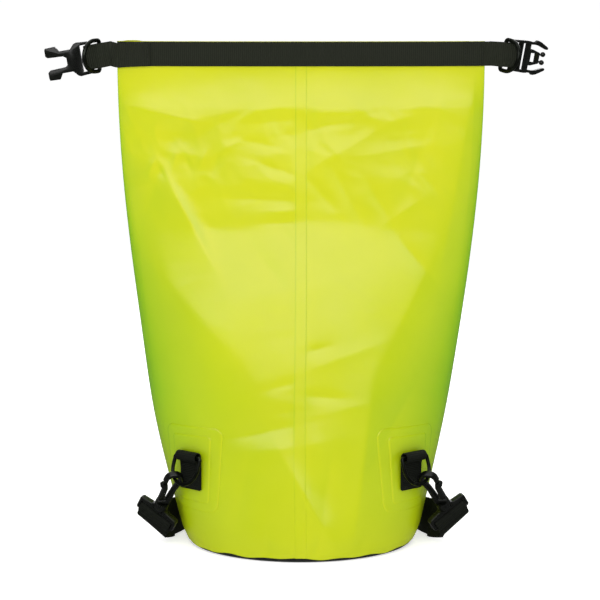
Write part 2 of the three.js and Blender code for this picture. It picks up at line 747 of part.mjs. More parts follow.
const dryBag = new THREE.Group();
dryBag.name = 'dry_bag';
dryBag.add(
  bagWall(),
  basePanel(),
  baseWeldRim(),
  rollPanel(),
  mouthHem(),
  stiffenerStrip(),
  bandOnMouth('front_band', -FLAT_HALF_WIDTH - 0.6, FLAT_HALF_WIDTH + 2.6, 0.9, BAND_LOW_Z),
  bandOnMouth('left_band_overlap', -FLAT_HALF_WIDTH + 6, -FLAT_HALF_WIDTH + 33, 3, BAND_LOW_Z - 0.7),
  leftMouthEnd(),
  rightMouthEnd(),
);
for (const [side, sideName] of [[-1, 'left'], [1, 'right']]) {
  dryBag.add(
    weldedPatch(`${sideName}_outer_patch`, side, 33, 42.5, 9, 0.4, YELLOW),
    weldedPatch(`${sideName}_inner_patch`, side, 22.5, 33.5, 4, 1.4, YELLOW_DEEP),
    lowLug(side, sideName),
    snapHook(side, sideName),
  );
}
dryBag.add(
  flatStrap('shoulder_strap', strapRoute(), 78, STRAP_WIDTH, STRAP),
  strapReturn(),
  strapSlider(),
);

export default dryBag;
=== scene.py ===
"""A roll-top dry bag standing empty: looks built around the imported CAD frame. Metres, +Z up."""
import math

import bmesh
import bpy
import numpy as np
from mathutils import Matrix, Vector


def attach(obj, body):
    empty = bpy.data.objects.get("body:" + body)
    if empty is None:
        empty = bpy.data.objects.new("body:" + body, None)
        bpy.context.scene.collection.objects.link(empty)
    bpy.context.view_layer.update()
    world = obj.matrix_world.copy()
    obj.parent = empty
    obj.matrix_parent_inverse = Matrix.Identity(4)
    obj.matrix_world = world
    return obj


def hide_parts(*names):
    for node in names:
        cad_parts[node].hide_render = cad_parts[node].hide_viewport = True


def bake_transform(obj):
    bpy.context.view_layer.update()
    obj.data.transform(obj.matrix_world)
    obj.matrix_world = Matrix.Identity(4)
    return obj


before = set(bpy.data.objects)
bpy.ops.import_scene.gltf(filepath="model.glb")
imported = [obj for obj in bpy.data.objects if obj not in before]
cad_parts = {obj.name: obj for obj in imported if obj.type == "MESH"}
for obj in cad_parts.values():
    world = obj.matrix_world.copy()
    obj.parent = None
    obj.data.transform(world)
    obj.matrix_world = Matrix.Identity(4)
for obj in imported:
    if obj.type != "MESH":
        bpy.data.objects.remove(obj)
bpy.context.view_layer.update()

# ---- sizes that several pieces share
BASE_RADIUS = 0.117
BAG_HEIGHT = 0.508
FLAT_HALF_WIDTH = BASE_RADIUS * math.pi / 2
TAPER_HEIGHT = 0.495
MOUTH_HALF_DEPTH = 0.0065
WELT_Z = 0.004
WALL_THICK = 0.0007
WEB_HIGH = 0.025
WEB_THICK = 0.0016
SHELL_SPLIT_Z = 0.4665
LUG_X = 0.107
LUG_Z = 0.0855
STRAP_WIDTH = 0.038
STRAP_THICK = 0.0022
SIDES = ((-1, "left"), (1, "right"))
# Each roll fold: the bodies below and above it, and its height.
LOWER_FOLD = ("root", "roll_panel", 0.452)
UPPER_FOLD = ("roll_panel", "mouth", 0.480)

# ---- camera
LENS_MM = 200
SENSOR_MM = 36
CAMERA_ELEVATION = math.radians(8.4)
CAMERA_TARGET = Vector((-0.001, 0, 0.2465))
CAMERA_DISTANCE = 3.368


def add_camera():
    """A long lens a little above the bag's middle, looking along +Y."""
    data = bpy.data.cameras.new("camera")
    data.lens = LENS_MM
    data.sensor_width = SENSOR_MM
    camera = bpy.data.objects.new("camera", data)
    back = Vector((0, -math.cos(CAMERA_ELEVATION), math.sin(CAMERA_ELEVATION)))
    camera.location = CAMERA_TARGET + back * CAMERA_DISTANCE
    camera.rotation_euler = (math.pi / 2 - CAMERA_ELEVATION, 0, 0)
    bpy.context.scene.collection.objects.link(camera)
    bpy.context.scene.camera = camera


# ---- floor and light
FLOOR_CORNERS = [(-30, -12, 0), (30, -12, 0), (30, 60, 0), (-30, 60, 0)]
FLOOR_LOOK = {
    "Base Color": (0.8, 0.8, 0.8, 1),
    "Roughness": 0.9,
    "Emission Color": (1, 1, 1, 1),
    "Emission Strength": 0.6,
}
SKY_LOOK = {"Color": (1, 1, 1, 1), "Strength": 0.11}
OVERHEAD_STRENGTH = 1.35
OVERHEAD_SPREAD = math.radians(80)
# Each panel: name, place, aim, watts, width, height, and whether glossy surfaces mirror it.
STUDIO_PANELS = (
    ("softbox", (-0.12, -1.38, 1.14), (0, 0, 0.25), 21.0, 2.7, 0.82, True),
    ("back_softbox", (0.1, 1.5, 1.0), (0, 0, 0.25), 17.0, 2.5, 0.85, True),
    ("low_fill", (0, -1.5, 0.16), (0, 0, 0.02), 3.0, 1.6, 0.5, False),
    ("left_fill", (-1.5, -0.6, 0.3), (0, 0, 0.15), 3.6, 1.6, 0.5, False),
    ("right_fill", (1.5, -0.6, 0.3), (0, 0, 0.15), 3.6, 1.6, 0.5, False),
)


def set_inputs(node, values):
    for socket, value in values.items():
        node.inputs[socket].default_value = value


def add_floor():
    """A plain pale floor that runs far back, with a glow of its own that keeps it white."""
    mesh = bpy.data.meshes.new("floor")
    mesh.from_pydata(FLOOR_CORNERS, [], [(0, 1, 2, 3)])
    pale = bpy.data.materials.new("pale_floor")
    pale.use_nodes = True
    set_inputs(pale.node_tree.nodes["Principled BSDF"], FLOOR_LOOK)
    mesh.materials.append(pale)
    floor = link(mesh, "floor")
    floor.visible_glossy = False


def add_lamp(name, kind, place, target, energy):
    lamp = bpy.data.lights.new(name, kind)
    lamp.energy = energy
    holder = bpy.data.objects.new(name, lamp)
    holder.location = place
    holder.rotation_euler = (Vector(target) - Vector(place)).to_track_quat("-Z", "Y").to_euler()
    bpy.context.scene.collection.objects.link(holder)
    return holder


def add_light():
    """An even sky, soft light from above, and the studio panels."""
    world = bpy.data.worlds.new("studio")
    world.use_nodes = True
    set_inputs(world.node_tree.nodes["Background"], SKY_LOOK)
    bpy.context.scene.world = world
    bpy.context.scene.view_settings.view_transform = "Standard"
    overhead = add_lamp("overhead", "SUN", (0, 0, 3), (0, 0, 0), OVERHEAD_STRENGTH)
    overhead.data.angle = OVERHEAD_SPREAD
    for name, place, aim, watts, width, height, mirrored in STUDIO_PANELS:
        panel = add_lamp(name, "AREA", place, aim, watts)
        panel.data.shape = "RECTANGLE"
        panel.data.size = width
        panel.data.size_y = height
        panel.visible_glossy = mirrored
        panel.visible_camera = False


# ---- mesh helpers
SPLINE_STEPS = 12
SELVEDGE_STEPS = 7
WIRE_SIDES = 18


def link(mesh, name):
    piece = bpy.data.objects.new(name, mesh)
    bpy.context.scene.collection.objects.link(piece)
    return piece


def unit(rows):
    return rows / np.linalg.norm(rows, axis=1)[:, None]


def run_along(path, power=1.0):
    """The sum of the gaps before each point of a path, each gap raised to a power."""
    gaps = np.linalg.norm(np.diff(path[:, :3], axis=0), axis=1)
    return np.concatenate([[0], np.cumsum(gaps ** power)])


def uv_grid(along, around):
    """Cloth coordinates for rows at the distances along and columns at the distances around."""
    return np.stack(np.meshgrid(along, around, indexing="ij"), axis=2)


def new_mesh(name, points, faces):
    """A smooth mesh from points in any array shape whose last axis is x, y, z."""
    mesh = bpy.data.meshes.new(name)
    mesh.from_pydata([tuple(p) for p in np.reshape(points, (-1, 3))], [], faces)
    mesh.polygons.foreach_set("use_smooth", [True] * len(mesh.polygons))
    return mesh


def grid_faces(rows, columns, ring=False, base=0):
    """Faces over rows that each close round; the rows close into a ring, or the two ends are capped."""
    starts = [base + j * columns for j in range(rows)]
    steps = list(zip(starts, starts[1:] + starts[:1]))
    around = [(i, (i + 1) % columns) for i in range(columns)]
    faces = [(low + i, low + h, high + h, high + i)
             for low, high in (steps if ring else steps[:-1]) for i, h in around]
    if not ring:
        faces.append(tuple(starts[0] + i for i in range(columns))[::-1])
        faces.append(tuple(starts[-1] + i for i in range(columns)))
    return faces


def grid_mesh(name, points, ring=False, uv=None):
    """A closed mesh over points[row][column]; uv has one more column, and one more row for a ring."""
    rows, columns = points.shape[:2]
    mesh = new_mesh(name, points, grid_faces(rows, columns, ring))
    if uv is not None:
        quads = np.stack([uv[:-1, :-1], uv[:-1, 1:], uv[1:, 1:], uv[1:, :-1]], axis=2).reshape(-1)
        caps = np.zeros(0 if ring else 4 * columns)
        mesh.uv_layers.new(name="cloth").data.foreach_set("uv", np.concatenate([quads, caps]))
    mesh.update()
    return mesh


def outward(mesh):
    """Faces turned outward, as a closed solid has them."""
    work = bmesh.new()
    work.from_mesh(mesh)
    bmesh.ops.recalc_face_normals(work, faces=work.faces)
    work.to_mesh(mesh)
    work.free()
    return mesh


def closed_piece(name, points, ring=False, uv=None):
    return link(outward(grid_mesh(name, points, ring, uv)), name)


def between(t, t0, t1, first, last):
    return (t1 - t) / (t1 - t0) * first + (t - t0) / (t1 - t0) * last


def smooth_steps(points, count):
    """Centripetal Catmull-Rom through points, resampled to count evenly spaced ones."""
    pts = np.array(points, float)
    pts = np.vstack([2 * pts[0] - pts[1], pts, 2 * pts[-1] - pts[-2]])
    knots = run_along(pts, 0.5)
    fine = []
    for s in range(1, len(pts) - 2):
        p0, p1, p2, p3 = pts[s - 1:s + 3]
        t0, t1, t2, t3 = knots[s - 1:s + 3]
        for t in np.linspace(t1, t2, SPLINE_STEPS, endpoint=s == len(pts) - 3):
            middle = between(t, t1, t2, p1, p2)
            before = between(t, t0, t2, between(t, t0, t1, p0, p1), middle)
            after = between(t, t1, t3, middle, between(t, t2, t3, p2, p3))
            fine.append(between(t, t1, t2, before, after))
    fine = np.array(fine)
    run = run_along(fine)
    at = np.linspace(0, run[-1], count)
    return np.stack([np.interp(at, run, fine[:, k]) for k in range(fine.shape[1])], axis=1)


def flat_profile(width, thick):
    """A webbing section: flat faces and round selvedges, as (across, through) pairs."""
    r = thick / 2
    turns = np.linspace(0, math.pi, SELVEDGE_STEPS)
    right = [(width / 2 - r + r * math.sin(a), -r * math.cos(a)) for a in turns]
    left = [(-x, -y) for x, y in right]
    return np.array(right + left)


def web_piece(name, line, width, thick):
    """Webbing along a line whose rows hold a point and the direction of the webbing's width there."""
    path, across = line[:, :3], line[:, 3:]
    forward = unit(np.gradient(path, axis=0))
    across = unit(across - (across * forward).sum(1)[:, None] * forward)
    normal = np.cross(forward, across)
    profile = flat_profile(width, thick)
    points = path[:, None] + across[:, None] * profile[None, :, :1] + normal[:, None] * profile[None, :, 1:]
    around = np.append(profile[:, 0], profile[0, 0])
    return closed_piece(name, points, uv=uv_grid(run_along(path), around))


def wire_ring(name, path, radius, side_axis):
    """A closed loop of round wire along path."""
    path, axis = np.array(path, float), np.array(side_axis, float)
    forward = unit(np.roll(path, -1, 0) - np.roll(path, 1, 0))
    side = unit(axis - (forward @ axis)[:, None] * forward)
    other = np.cross(forward, side)
    turn = np.linspace(0, 2 * math.pi, WIRE_SIDES, endpoint=False)
    points = (path[:, None] + side[:, None] * (np.cos(turn) * radius)[None, :, None]
              + other[:, None] * (np.sin(turn) * radius)[None, :, None])
    return closed_piece(name, points, ring=True)


# ---- the bag's surface
HALVINGS = 34
# How round a crease's crest is, and how steeply the cloth falls off beside it.
CREASE_ROUNDING = 0.012
CREASE_POWER = 1.2
# Folds higher than this many millimetres bend the lap too; it stiffens the smaller ones.
BROAD_FOLD = 2.2
LAP_STIFFNESS = 0.75
LAP_REACH = 0.0095
# The empty cloth settles and spreads a little above the floor, more to the left.
SAG_Z = 0.125
SAG_REACH = 0.085
SAG_OUT = 0.0032
SAG_SHIFT = -0.0014
# The wall rolls in a little at its foot, where it meets the floor.
FOOT_TUCK = 0.0048
FOOT_HEIGHT = 0.026
# The relief fades in above the foot and out below the band: where it starts, and over what height.
FOOT_FADE = (0.0035, 0.006)
TOP_FADE = (0.482, 0.04)
# Crumples: lump size and height of the coarse and the fine ones, and where the cloth has been rolled.
COARSE_CRUMPLE = (0.034, 0.0011)
FINE_CRUMPLE = (0.015, 0.00045)
CRUMPLE_BEND_X = (0.031, 0.016)
CRUMPLE_BEND_Z = (0.027, 0.014)
CRUMPLE_LEAN = 0.35
CRUMPLE_SHIFT = 0.2
ROLLED_Z = 0.405
ROLLED_REACH = 0.055
UNROLLED_CRUMPLE = 0.16
LATTICE_SIZE = 64
LATTICE_SHIFT = (31.3, 17.7)
LATTICE = np.random.RandomState(11).rand(LATTICE_SIZE, LATTICE_SIZE)

# Each crease: centre x and z, angle from level in degrees, length, width above, width below,
# height; the lengths are in millimetres.
FRONT_CREASES = [
    (-100, 322, -3, 70, 46, 58, -5), (-10, 327, 4, 70, 40, 60, -4.2), (78, 323, -5, 56, 34, 60, -2.8),
    (-114, 336, -62, 50, 6, 36, 4.6), (-150, 352, 70, 40, 20, 20, -1.6), (-128, 434, -12, 44, 40, 12, 3),
    (-48, 440, 7, 46, 38, 16, 2.7), (40, 436, -5, 46, 40, 14, 2.4), (122, 445, 10, 44, 38, 18, 2),
    (160, 400, 80, 110, 70, 16, 2.8), (-149, 383, 70, 10, 4, 4, 0.8), (-140, 379, -60, 9, 3, 4, -0.7),
    (-126, 391, 80, 10, 4, 4, 0.7), (-113, 386, -70, 11, 4, 3, -0.7), (-98, 392, 65, 10, 4, 4, 0.7),
    (-86, 386, 75, 12, 3, 4, -0.6), (-72, 404, 30, 16, 5, 5, 0.6), (-70, 432, 25, 40, 10, 8, -0.8),
    (-22, 430, 4, 22, 6, 7, -0.8), (-30, 404, -14, 30, 6, 7, -0.7), (-26, 382, -20, 34, 6, 7, -0.9),
    (-34, 352, -2, 40, 9, 12, -1.7), (-18, 340, 2, 18, 4, 5, 0.6), (-22, 329, 2, 20, 4, 5, -0.6),
    (-12, 314, -50, 14, 4, 5, -0.6), (-30, 283, -52, 30, 10, 12, -1.2), (-104, 238, -47, 90, 34, 44, 4.4),
    (-20, 262, 10, 60, 16, 20, 0.7), (30, 426, 14, 50, 6, 9, -1), (50, 405, 30, 60, 9, 12, 0.9),
    (18, 360, -48, 22, 6, 7, -0.9), (45, 358, -62, 34, 10, 8, -1), (78, 350, -58, 32, 8, 8, -1),
    (100, 338, 35, 26, 7, 8, 0.7), (118, 395, 70, 40, 12, 10, -0.9), (136, 430, 80, 34, 9, 10, 0.7),
    (112, 296, -50, 30, 7, 10, -1.1), (104, 240, 62, 70, 22, 16, 1.8), (14, 206, 12, 16, 5, 6, -0.9),
    (45, 200, 18, 34, 10, 12, 0.9), (18, 161, -4, 24, 6, 9, -1.3), (50, 150, 10, 26, 10, 10, 0.6),
    (-16, 172, 16, 22, 5, 7, -0.8), (-18, 146, 4, 24, 6, 7, -0.8), (-40, 126, 12, 45, 14, 9, -2.1),
    (-12, 112, 8, 50, 8, 14, 0.9), (6, 62, -60, 54, 9, 12, 2.6), (60, 85, 83, 72, 12, 12, 2.6),
    (26, 70, 82, 30, 13, 14, -2.2), (-60, 60, 78, 45, 16, 16, -1.4), (92, 130, 60, 50, 12, 14, -1.4),
    (-34, 10, 84, 16, 7, 7, -1.7), (16, 12, 80, 15, 7, 7, -1.6), (-8, 12, 85, 12, 8, 8, 1),
    (60, 10, 80, 12, 8, 8, -0.8),
]
BACK_CREASES = [
    (30, 325, 2, 170, 40, 50, -2.8), (-90, 352, 60, 50, 10, 30, 2.8), (100, 372, -54, 50, 12, 20, -1.8),
    (70, 430, 6, 60, 10, 12, -1.2), (-40, 428, -8, 50, 10, 10, -1.1), (10, 392, 18, 40, 8, 10, -1),
    (-50, 380, -30, 36, 7, 9, 0.8), (-10, 350, 4, 50, 10, 12, -1.3), (80, 240, 44, 90, 30, 45, 3.4),
    (-100, 230, -60, 70, 20, 16, 2), (-30, 270, -12, 70, 18, 22, 1), (-50, 180, 20, 60, 14, 12, -1.6),
    (30, 150, -16, 50, 12, 10, -1.6), (70, 110, 60, 40, 12, 12, -1.4), (-70, 105, -70, 50, 12, 14, 1.4),
    (0, 70, 80, 40, 14, 14, -1.8), (-30, 12, 82, 14, 7, 6, -1.8), (45, 12, 80, 14, 6, 7, -1.6),
]


def half_width(z):
    rise = np.sin(math.pi / 2 * np.clip(z / TAPER_HEIGHT, 0, 1))
    return BASE_RADIUS + (FLAT_HALF_WIDTH - BASE_RADIUS) * rise


def girth(a, b):
    """An ellipse's circumference, by Ramanujan's formula."""
    return math.pi * (3 * (a + b) - np.sqrt((3 * a + b) * (a + 3 * b)))


def half_depth(z):
    """The cloth keeps one girth, so its depth follows from its width."""
    z = np.asarray(z, float)
    low = np.full(z.shape, MOUTH_HALF_DEPTH)
    high = np.full(z.shape, BASE_RADIUS)
    for _ in range(HALVINGS):
        middle = (low + high) / 2
        over = girth(half_width(z), middle) > 2 * math.pi * BASE_RADIUS
        high = np.where(over, middle, high)
        low = np.where(over, low, middle)
    return low


def crease(x, z, fold):
    """A ridge, or a valley where its height is negative, that fades toward its ends."""
    at_x, at_z, angle, length, above, below, height = fold
    c, s = math.cos(math.radians(angle)), math.sin(math.radians(angle))
    dx, dz = 1000 * x - at_x, 1000 * z - at_z
    along = (dx * c + dz * s) / length
    across = -dx * s + dz * c
    across = np.sqrt((across / np.where(across > 0, above, below)) ** 2 + CREASE_ROUNDING)
    return height / 1000 * np.exp(-along ** 2 - across ** CREASE_POWER)


def lattice_noise(x, z, size):
    """Smooth noise from 0 to 1 over (x, z), its lumps about size across."""
    u, v = x / size + LATTICE_SHIFT[0], z / size + LATTICE_SHIFT[1]
    i, j = np.floor(u).astype(int), np.floor(v).astype(int)
    s, t = u - i, v - j
    s, t = s * s * (3 - 2 * s), t * t * (3 - 2 * t)
    near, far = i % LATTICE_SIZE, (i + 1) % LATTICE_SIZE
    low, high = j % LATTICE_SIZE, (j + 1) % LATTICE_SIZE
    bottom = LATTICE[near, low] * (1 - s) + LATTICE[far, low] * s
    top = LATTICE[near, high] * (1 - s) + LATTICE[far, high] * s
    return bottom * (1 - t) + top * t


def sharp_noise(x, z, size, height):
    """Noise from 0 to height with sharp crests."""
    return height * (1 - np.abs(2 * lattice_noise(x, z, size) - 1))


def crumple(x, z):
    """Small folds with sharp crests, strongest in the upper third, where the cloth has been rolled."""
    size, reach = CRUMPLE_BEND_X
    bent_x = x + reach * (lattice_noise(x, z, size) - 0.5) + CRUMPLE_LEAN * z
    size, reach = CRUMPLE_BEND_Z
    bent_z = z + reach * (lattice_noise(z, x, size) - 0.5)
    coarse = sharp_noise(bent_x, bent_z, *COARSE_CRUMPLE)
    fine = sharp_noise(bent_z + CRUMPLE_SHIFT, bent_x, *FINE_CRUMPLE)
    rolled = np.exp(-((z - ROLLED_Z) / ROLLED_REACH) ** 2)
    left = 0.55 + 0.45 * np.exp(-((x + 0.08) / 0.07) ** 2)
    return (coarse + fine) * (UNROLLED_CRUMPLE + rolled * left)


def slow_waves(x, z, phase):
    """Two shallow waves over the whole wall, one long and one short."""
    long_wave = 0.0007 * np.sin(21 * x + phase) * np.sin(13 * z + 1.3 * phase)
    short_wave = 0.00025 * np.sin(61 * x - 18 * z + phase) * np.sin(47 * z + phase)
    return long_wave + short_wave


def soft_relief(x, z, front):
    """How far the cloth stands off its plain loft: creases, crumples and slow waves together."""
    broad = np.zeros_like(x)
    small = crumple(x, z) if front else crumple(-x, z)
    for fold in FRONT_CREASES if front else BACK_CREASES:
        if abs(fold[-1]) > BROAD_FOLD:
            broad += crease(x, z, fold)
        else:
            small += crease(x, z, fold)
    stiffness = LAP_STIFFNESS * np.exp(-(x / LAP_REACH) ** 4) if front else 0
    out = broad + small * (1 - stiffness) + slow_waves(x, z, 0.6 if front else 2.1)
    foot = np.clip((z - FOOT_FADE[0]) / FOOT_FADE[1], 0, 1)
    top = np.clip((TOP_FADE[0] - z) / TOP_FADE[1], 0, 1)
    return out * foot * top


def bag_point(turn, z, lift=0.0):
    """A point of the bag's outside at ellipse angle turn and height z, lifted off it."""
    turn, z = np.broadcast_arrays(np.asarray(turn, float), np.asarray(z, float))
    a, b = half_width(z), half_depth(z)
    x, y = a * np.cos(turn), b * np.sin(turn)
    nx, ny = np.cos(turn) / a, np.sin(turn) / b
    size = np.hypot(nx, ny)
    nx, ny = nx / size, ny / size
    sag = np.exp(-((z - SAG_Z) / SAG_REACH) ** 2)
    x = x + sag * (SAG_OUT * np.cos(turn) + SAG_SHIFT)
    facing = np.clip(np.abs(np.sin(turn)) * 3, 0, 1)
    relief = np.where(y < 0, soft_relief(x, z, True), soft_relief(x, z, False)) * facing
    tuck = FOOT_TUCK * np.clip(1 - z / FOOT_HEIGHT, 0, 1) ** 2
    out = relief + lift - tuck
    return np.stack([x + nx * out, y + ny * out, z], axis=-1)


def turn_at(x, z):
    """The ellipse angle on the front wall at a given x."""
    return -np.arccos(np.clip(x / half_width(z), -1, 1))


def lug_turn_at(side, along, z):
    """The ellipse angle at a distance along the wall from a lug's middle, toward the bag's right."""
    a, b = half_width(z), half_depth(z)
    middle = np.arccos(LUG_X / a)
    speed = np.hypot(a * np.sin(middle), b * np.cos(middle))
    angle = middle - side * along / speed
    return -angle if side > 0 else angle - math.pi


def front_y(x, z):
    """The front wall's y before any creases."""
    a = float(half_width(z))
    return -float(half_depth(z)) * math.sqrt(max(0.0, 1 - (x / a) ** 2))


# ---- node materials
SCRIM_PITCH = 0.0012
# Painted shade on walls that face sideways, a darker and greener tint: how steeply it comes in, and how
# strong it gets.
SIDE_SHADE_POWER = 1.25
SIDE_SHADE_MIX = 0.72
# Painted shade: the lower body turns toward a deeper tone from this height down, at most by this much.
LOWER_SHADE_FROM_Z = 0.42
LOWER_SHADE_MIX = 0.85
# Light bounced from the floor keeps the painted side shade weak up to this height.
BOUNCE_Z = 0.16
BOUNCE_MIX = 0.15


class Nodes:
    """A short way to write a material's node tree."""

    def __init__(self, name, color, roughness, **sockets):
        self.material = bpy.data.materials.new(name)
        self.material.use_nodes = True
        self.tree = self.material.node_tree
        self.shader = self.tree.nodes["Principled BSDF"]
        set_inputs(self.shader, {"Base Color": (*color, 1), "Roughness": roughness, **sockets})

    def add(self, kind, **values):
        node = self.tree.nodes.new(kind)
        for key, value in values.items():
            if key in node.inputs:
                node.inputs[key].default_value = value
            else:
                setattr(node, key, value)
        return node

    def wire(self, source, target):
        self.tree.links.new(source, target)

    def place(self, kind="Object"):
        return self.add("ShaderNodeTexCoord").outputs[kind]

    def split(self, vector):
        node = self.add("ShaderNodeSeparateXYZ")
        self.wire(vector, node.inputs[0])
        return node.outputs

    def math(self, operation, first, second=None):
        node = self.add("ShaderNodeMath", operation=operation)
        for k, value in enumerate((first, second)):
            if value is None:
                continue
            if isinstance(value, (int, float)):
                node.inputs[k].default_value = value
            else:
                self.wire(value, node.inputs[k])
        return node.outputs[0]

    def times(self, first, second):
        return self.math("MULTIPLY", first, second)

    def plus(self, first, second):
        return self.math("ADD", first, second)

    def wave(self, distance, pitch):
        return self.math("SINE", self.times(distance, 2 * math.pi / pitch))

    def noise(self, vector, scale, detail=3.0, roughness=0.55):
        node = self.add("ShaderNodeTexNoise", Scale=scale, Detail=detail, Roughness=roughness)
        self.wire(vector, node.inputs["Vector"])
        return node.outputs["Fac"]

    def ramp(self, factor, *stops):
        node = self.add("ShaderNodeValToRGB")
        for element, (place, color) in zip(node.color_ramp.elements, stops):
            element.position = place
            element.color = (*color, 1)
        self.wire(factor, node.inputs["Fac"])
        return node.outputs["Color"]

    def mix(self, factor, first, second, blend="MIX"):
        node = self.add("ShaderNodeMix", data_type="RGBA", blend_type=blend)
        for value, socket in ((factor, node.inputs[0]), (first, node.inputs[6]), (second, node.inputs[7])):
            if isinstance(value, (int, float)):
                socket.default_value = value
            elif isinstance(value, tuple):
                socket.default_value = (*value, 1)
            else:
                self.wire(value, socket)
        return node.outputs[2]

    def bump(self, height, strength, distance, below=None):
        node = self.add("ShaderNodeBump", Strength=strength, Distance=distance)
        self.wire(height, node.inputs["Height"])
        if below is not None:
            self.wire(below, node.inputs["Normal"])
        return node.outputs["Normal"]

    def finish(self, color, roughness, normal):
        for value, socket in ((color, "Base Color"), (roughness, "Roughness"), (normal, "Normal")):
            if value is not None:
                self.wire(value, self.shader.inputs[socket])
        return self.material


def srgb(*channels):
    """Linear colour from 0-255 screen values."""
    return tuple((c / 255 / 12.92) if c <= 10 else ((c / 255 + 0.055) / 1.055) ** 2.4 for c in channels)


def scaled(color, factor):
    return tuple(c * factor for c in color)


def cloth_color(n, light, lower_shade, side_shade):
    """The light tone above; painted shade: a deeper tone lower down and a darker, greener one where the wall
    faces sideways; with faint blotches.
    """
    place = n.place()
    height = n.split(place)[2]
    # painted shade: the wall turns to a deeper tone lower down
    lower = n.math("SUBTRACT", 1.0, n.times(height, 1 / LOWER_SHADE_FROM_Z))
    lower = n.math("MAXIMUM", n.times(lower, LOWER_SHADE_MIX), 0.0)
    # painted shade: a darker, greener tone where the wall faces sideways
    normal = n.add("ShaderNodeNewGeometry").outputs["Normal"]
    side_shade_mask = n.math("POWER", n.math("ABSOLUTE", n.split(normal)[0]), SIDE_SHADE_POWER)
    raised = n.plus(n.math("MINIMUM", n.times(height, 1 / BOUNCE_Z), 1.0), BOUNCE_MIX)
    body = n.mix(lower, light, lower_shade)
    body = n.mix(n.times(n.times(side_shade_mask, raised), SIDE_SHADE_MIX), body, side_shade)
    blotch = n.ramp(n.noise(place, 9.0), (0.35, (0.93, 0.95, 0.9)), (0.65, (1.0, 1.0, 1.0)))
    return n.mix(1.0, body, blotch, "MULTIPLY")


def tarpaulin(name, light, lower_shade, side_shade):
    """PVC-coated scrim: a semi-gloss skin with the woven base grid faintly proud of it."""
    n = Nodes(name, light, 0.3, IOR=1.47)
    place = n.place()
    cloth = n.split(n.place("UV"))
    scrim = n.math("MAXIMUM", n.wave(cloth[0], SCRIM_PITCH), n.wave(cloth[1], SCRIM_PITCH))
    rough = n.plus(n.times(n.noise(place, 40.0), 0.09), 0.19)
    bump = n.bump(n.noise(place, 900.0, 2.0), 0.05, 0.0002)
    bump = n.bump(scrim, 0.10, 0.00008, bump)
    return n.finish(cloth_color(n, light, lower_shade, side_shade), rough, bump)


def webbing(name, color, rib):
    """Woven polyester: ribs across the tape, yarns along it, painted shade and highlight that follow the
    weave, a little lint and colour drift.
    """
    n = Nodes(name, color, 0.72, IOR=1.28)
    place = n.place()
    cloth = n.split(n.place("UV"))
    ribs = n.wave(cloth[0], rib)
    yarn = n.wave(cloth[1], rib * 0.62)
    weave = n.plus(n.times(ribs, 0.6), n.times(n.times(ribs, yarn), 0.5))
    # painted shade and highlight: the tone follows the weave's relief, darker in its grooves and lighter on
    # its ribs
    tone = n.ramp(n.plus(n.times(weave, 0.22), 0.5), (0.15, scaled(color, 0.3)), (0.8, scaled(color, 2.2)))
    tone = n.mix(n.times(n.noise(place, 30.0), 0.2), tone, scaled(color, 1.4))
    bump = n.bump(n.noise(place, 1400.0, 3.0, 0.7), 0.35, 0.0002)
    bump = n.bump(weave, 0.75, 0.0004, bump)
    return n.finish(tone, None, bump)


def moulded(name, color, roughness):
    """Moulded plastic: satin, with a fine spark-eroded texture and slight handling marks."""
    n = Nodes(name, color, roughness, IOR=1.42)
    place = n.place()
    wear = n.noise(place, 120.0, 4.0)
    tone = n.ramp(wear, (0.3, scaled(color, 0.8)), (0.75, scaled(color, 1.5)))
    rough = n.plus(n.times(wear, 0.22), roughness - 0.1)
    return n.finish(tone, rough, n.bump(n.noise(place, 2600.0, 2.0), 0.25, 0.0001))


def coated_wire(name, color):
    """Black-coated steel wire whose coat is rubbed a little, in random patches."""
    n = Nodes(name, color, 0.3, Metallic=0.75, IOR=1.5)
    place = n.place()
    rub = n.noise(place, 160.0, 4.0, 0.6)
    tone = n.ramp(rub, (0.45, color), (0.8, scaled(color, 4.5)))
    rough = n.ramp(rub, (0.3, (0.36, 0.36, 0.36)), (0.8, (0.22, 0.22, 0.22)))
    return n.finish(tone, rough, n.bump(n.noise(place, 900.0), 0.12, 0.0001))


# The second and third colours of each tarpaulin are painted shade: a deeper tone lower down and a darker,
# greener tone where the wall faces sideways.
YELLOW = tarpaulin("yellow_tarpaulin", srgb(187, 190, 13), srgb(180, 190, 13), srgb(84, 164, 14))
BLACK_TARP = tarpaulin("black_tarpaulin", srgb(30, 32, 28), srgb(27, 29, 26), srgb(24, 26, 23))
BAND_WEB = webbing("band_webbing", srgb(24, 27, 18), 0.0020)
STRAP_WEB = webbing("strap_webbing", srgb(13, 16, 10), 0.0018)
PLASTIC = moulded("black_acetal", srgb(9, 11, 8), 0.27)
WIRE = coated_wire("coated_wire", srgb(15, 18, 13))
BATTEN = moulded("batten_sheet", srgb(150, 154, 148), 0.5)
THREAD = moulded("sewing_thread", srgb(24, 28, 20), 0.7)


def dress(piece, material):
    piece.data.materials.clear()
    piece.data.materials.append(material)
    return piece


# ---- the wall and the floor
WALL_COLUMNS = 440
EDGE_STEP = 0.0001
FOOT_WAVE_HEIGHT = 0.02
# The back layer's edge sits this much lower than the front's, but stands proud near the left end.
RIM_DROP = 0.0026
PROUD_X = -0.169
PROUD_REACH = 0.013
PROUD_RISE = 0.0034
PROUD_FRONT = 0.0004
# The floor's section: height, and how far inside the wall's outer face.
BASE_COLUMNS = 240
BASE_SECTION = [
    (0.0, 0.045), (0.0, 0.012), (0.00015, 0.0045), (0.0009, 0.0021), (0.0021, 0.0010), (0.0036, 0.0006),
    (0.0044, 0.0010), (0.006, 0.0017), (0.009, 0.0017), (0.012, 0.0017), (0.016, 0.0017), (0.020, 0.0017),
    (0.020, 0.0024), (0.012, 0.0026), (0.007, 0.0026), (0.003, 0.006), (0.0022, 0.045),
]


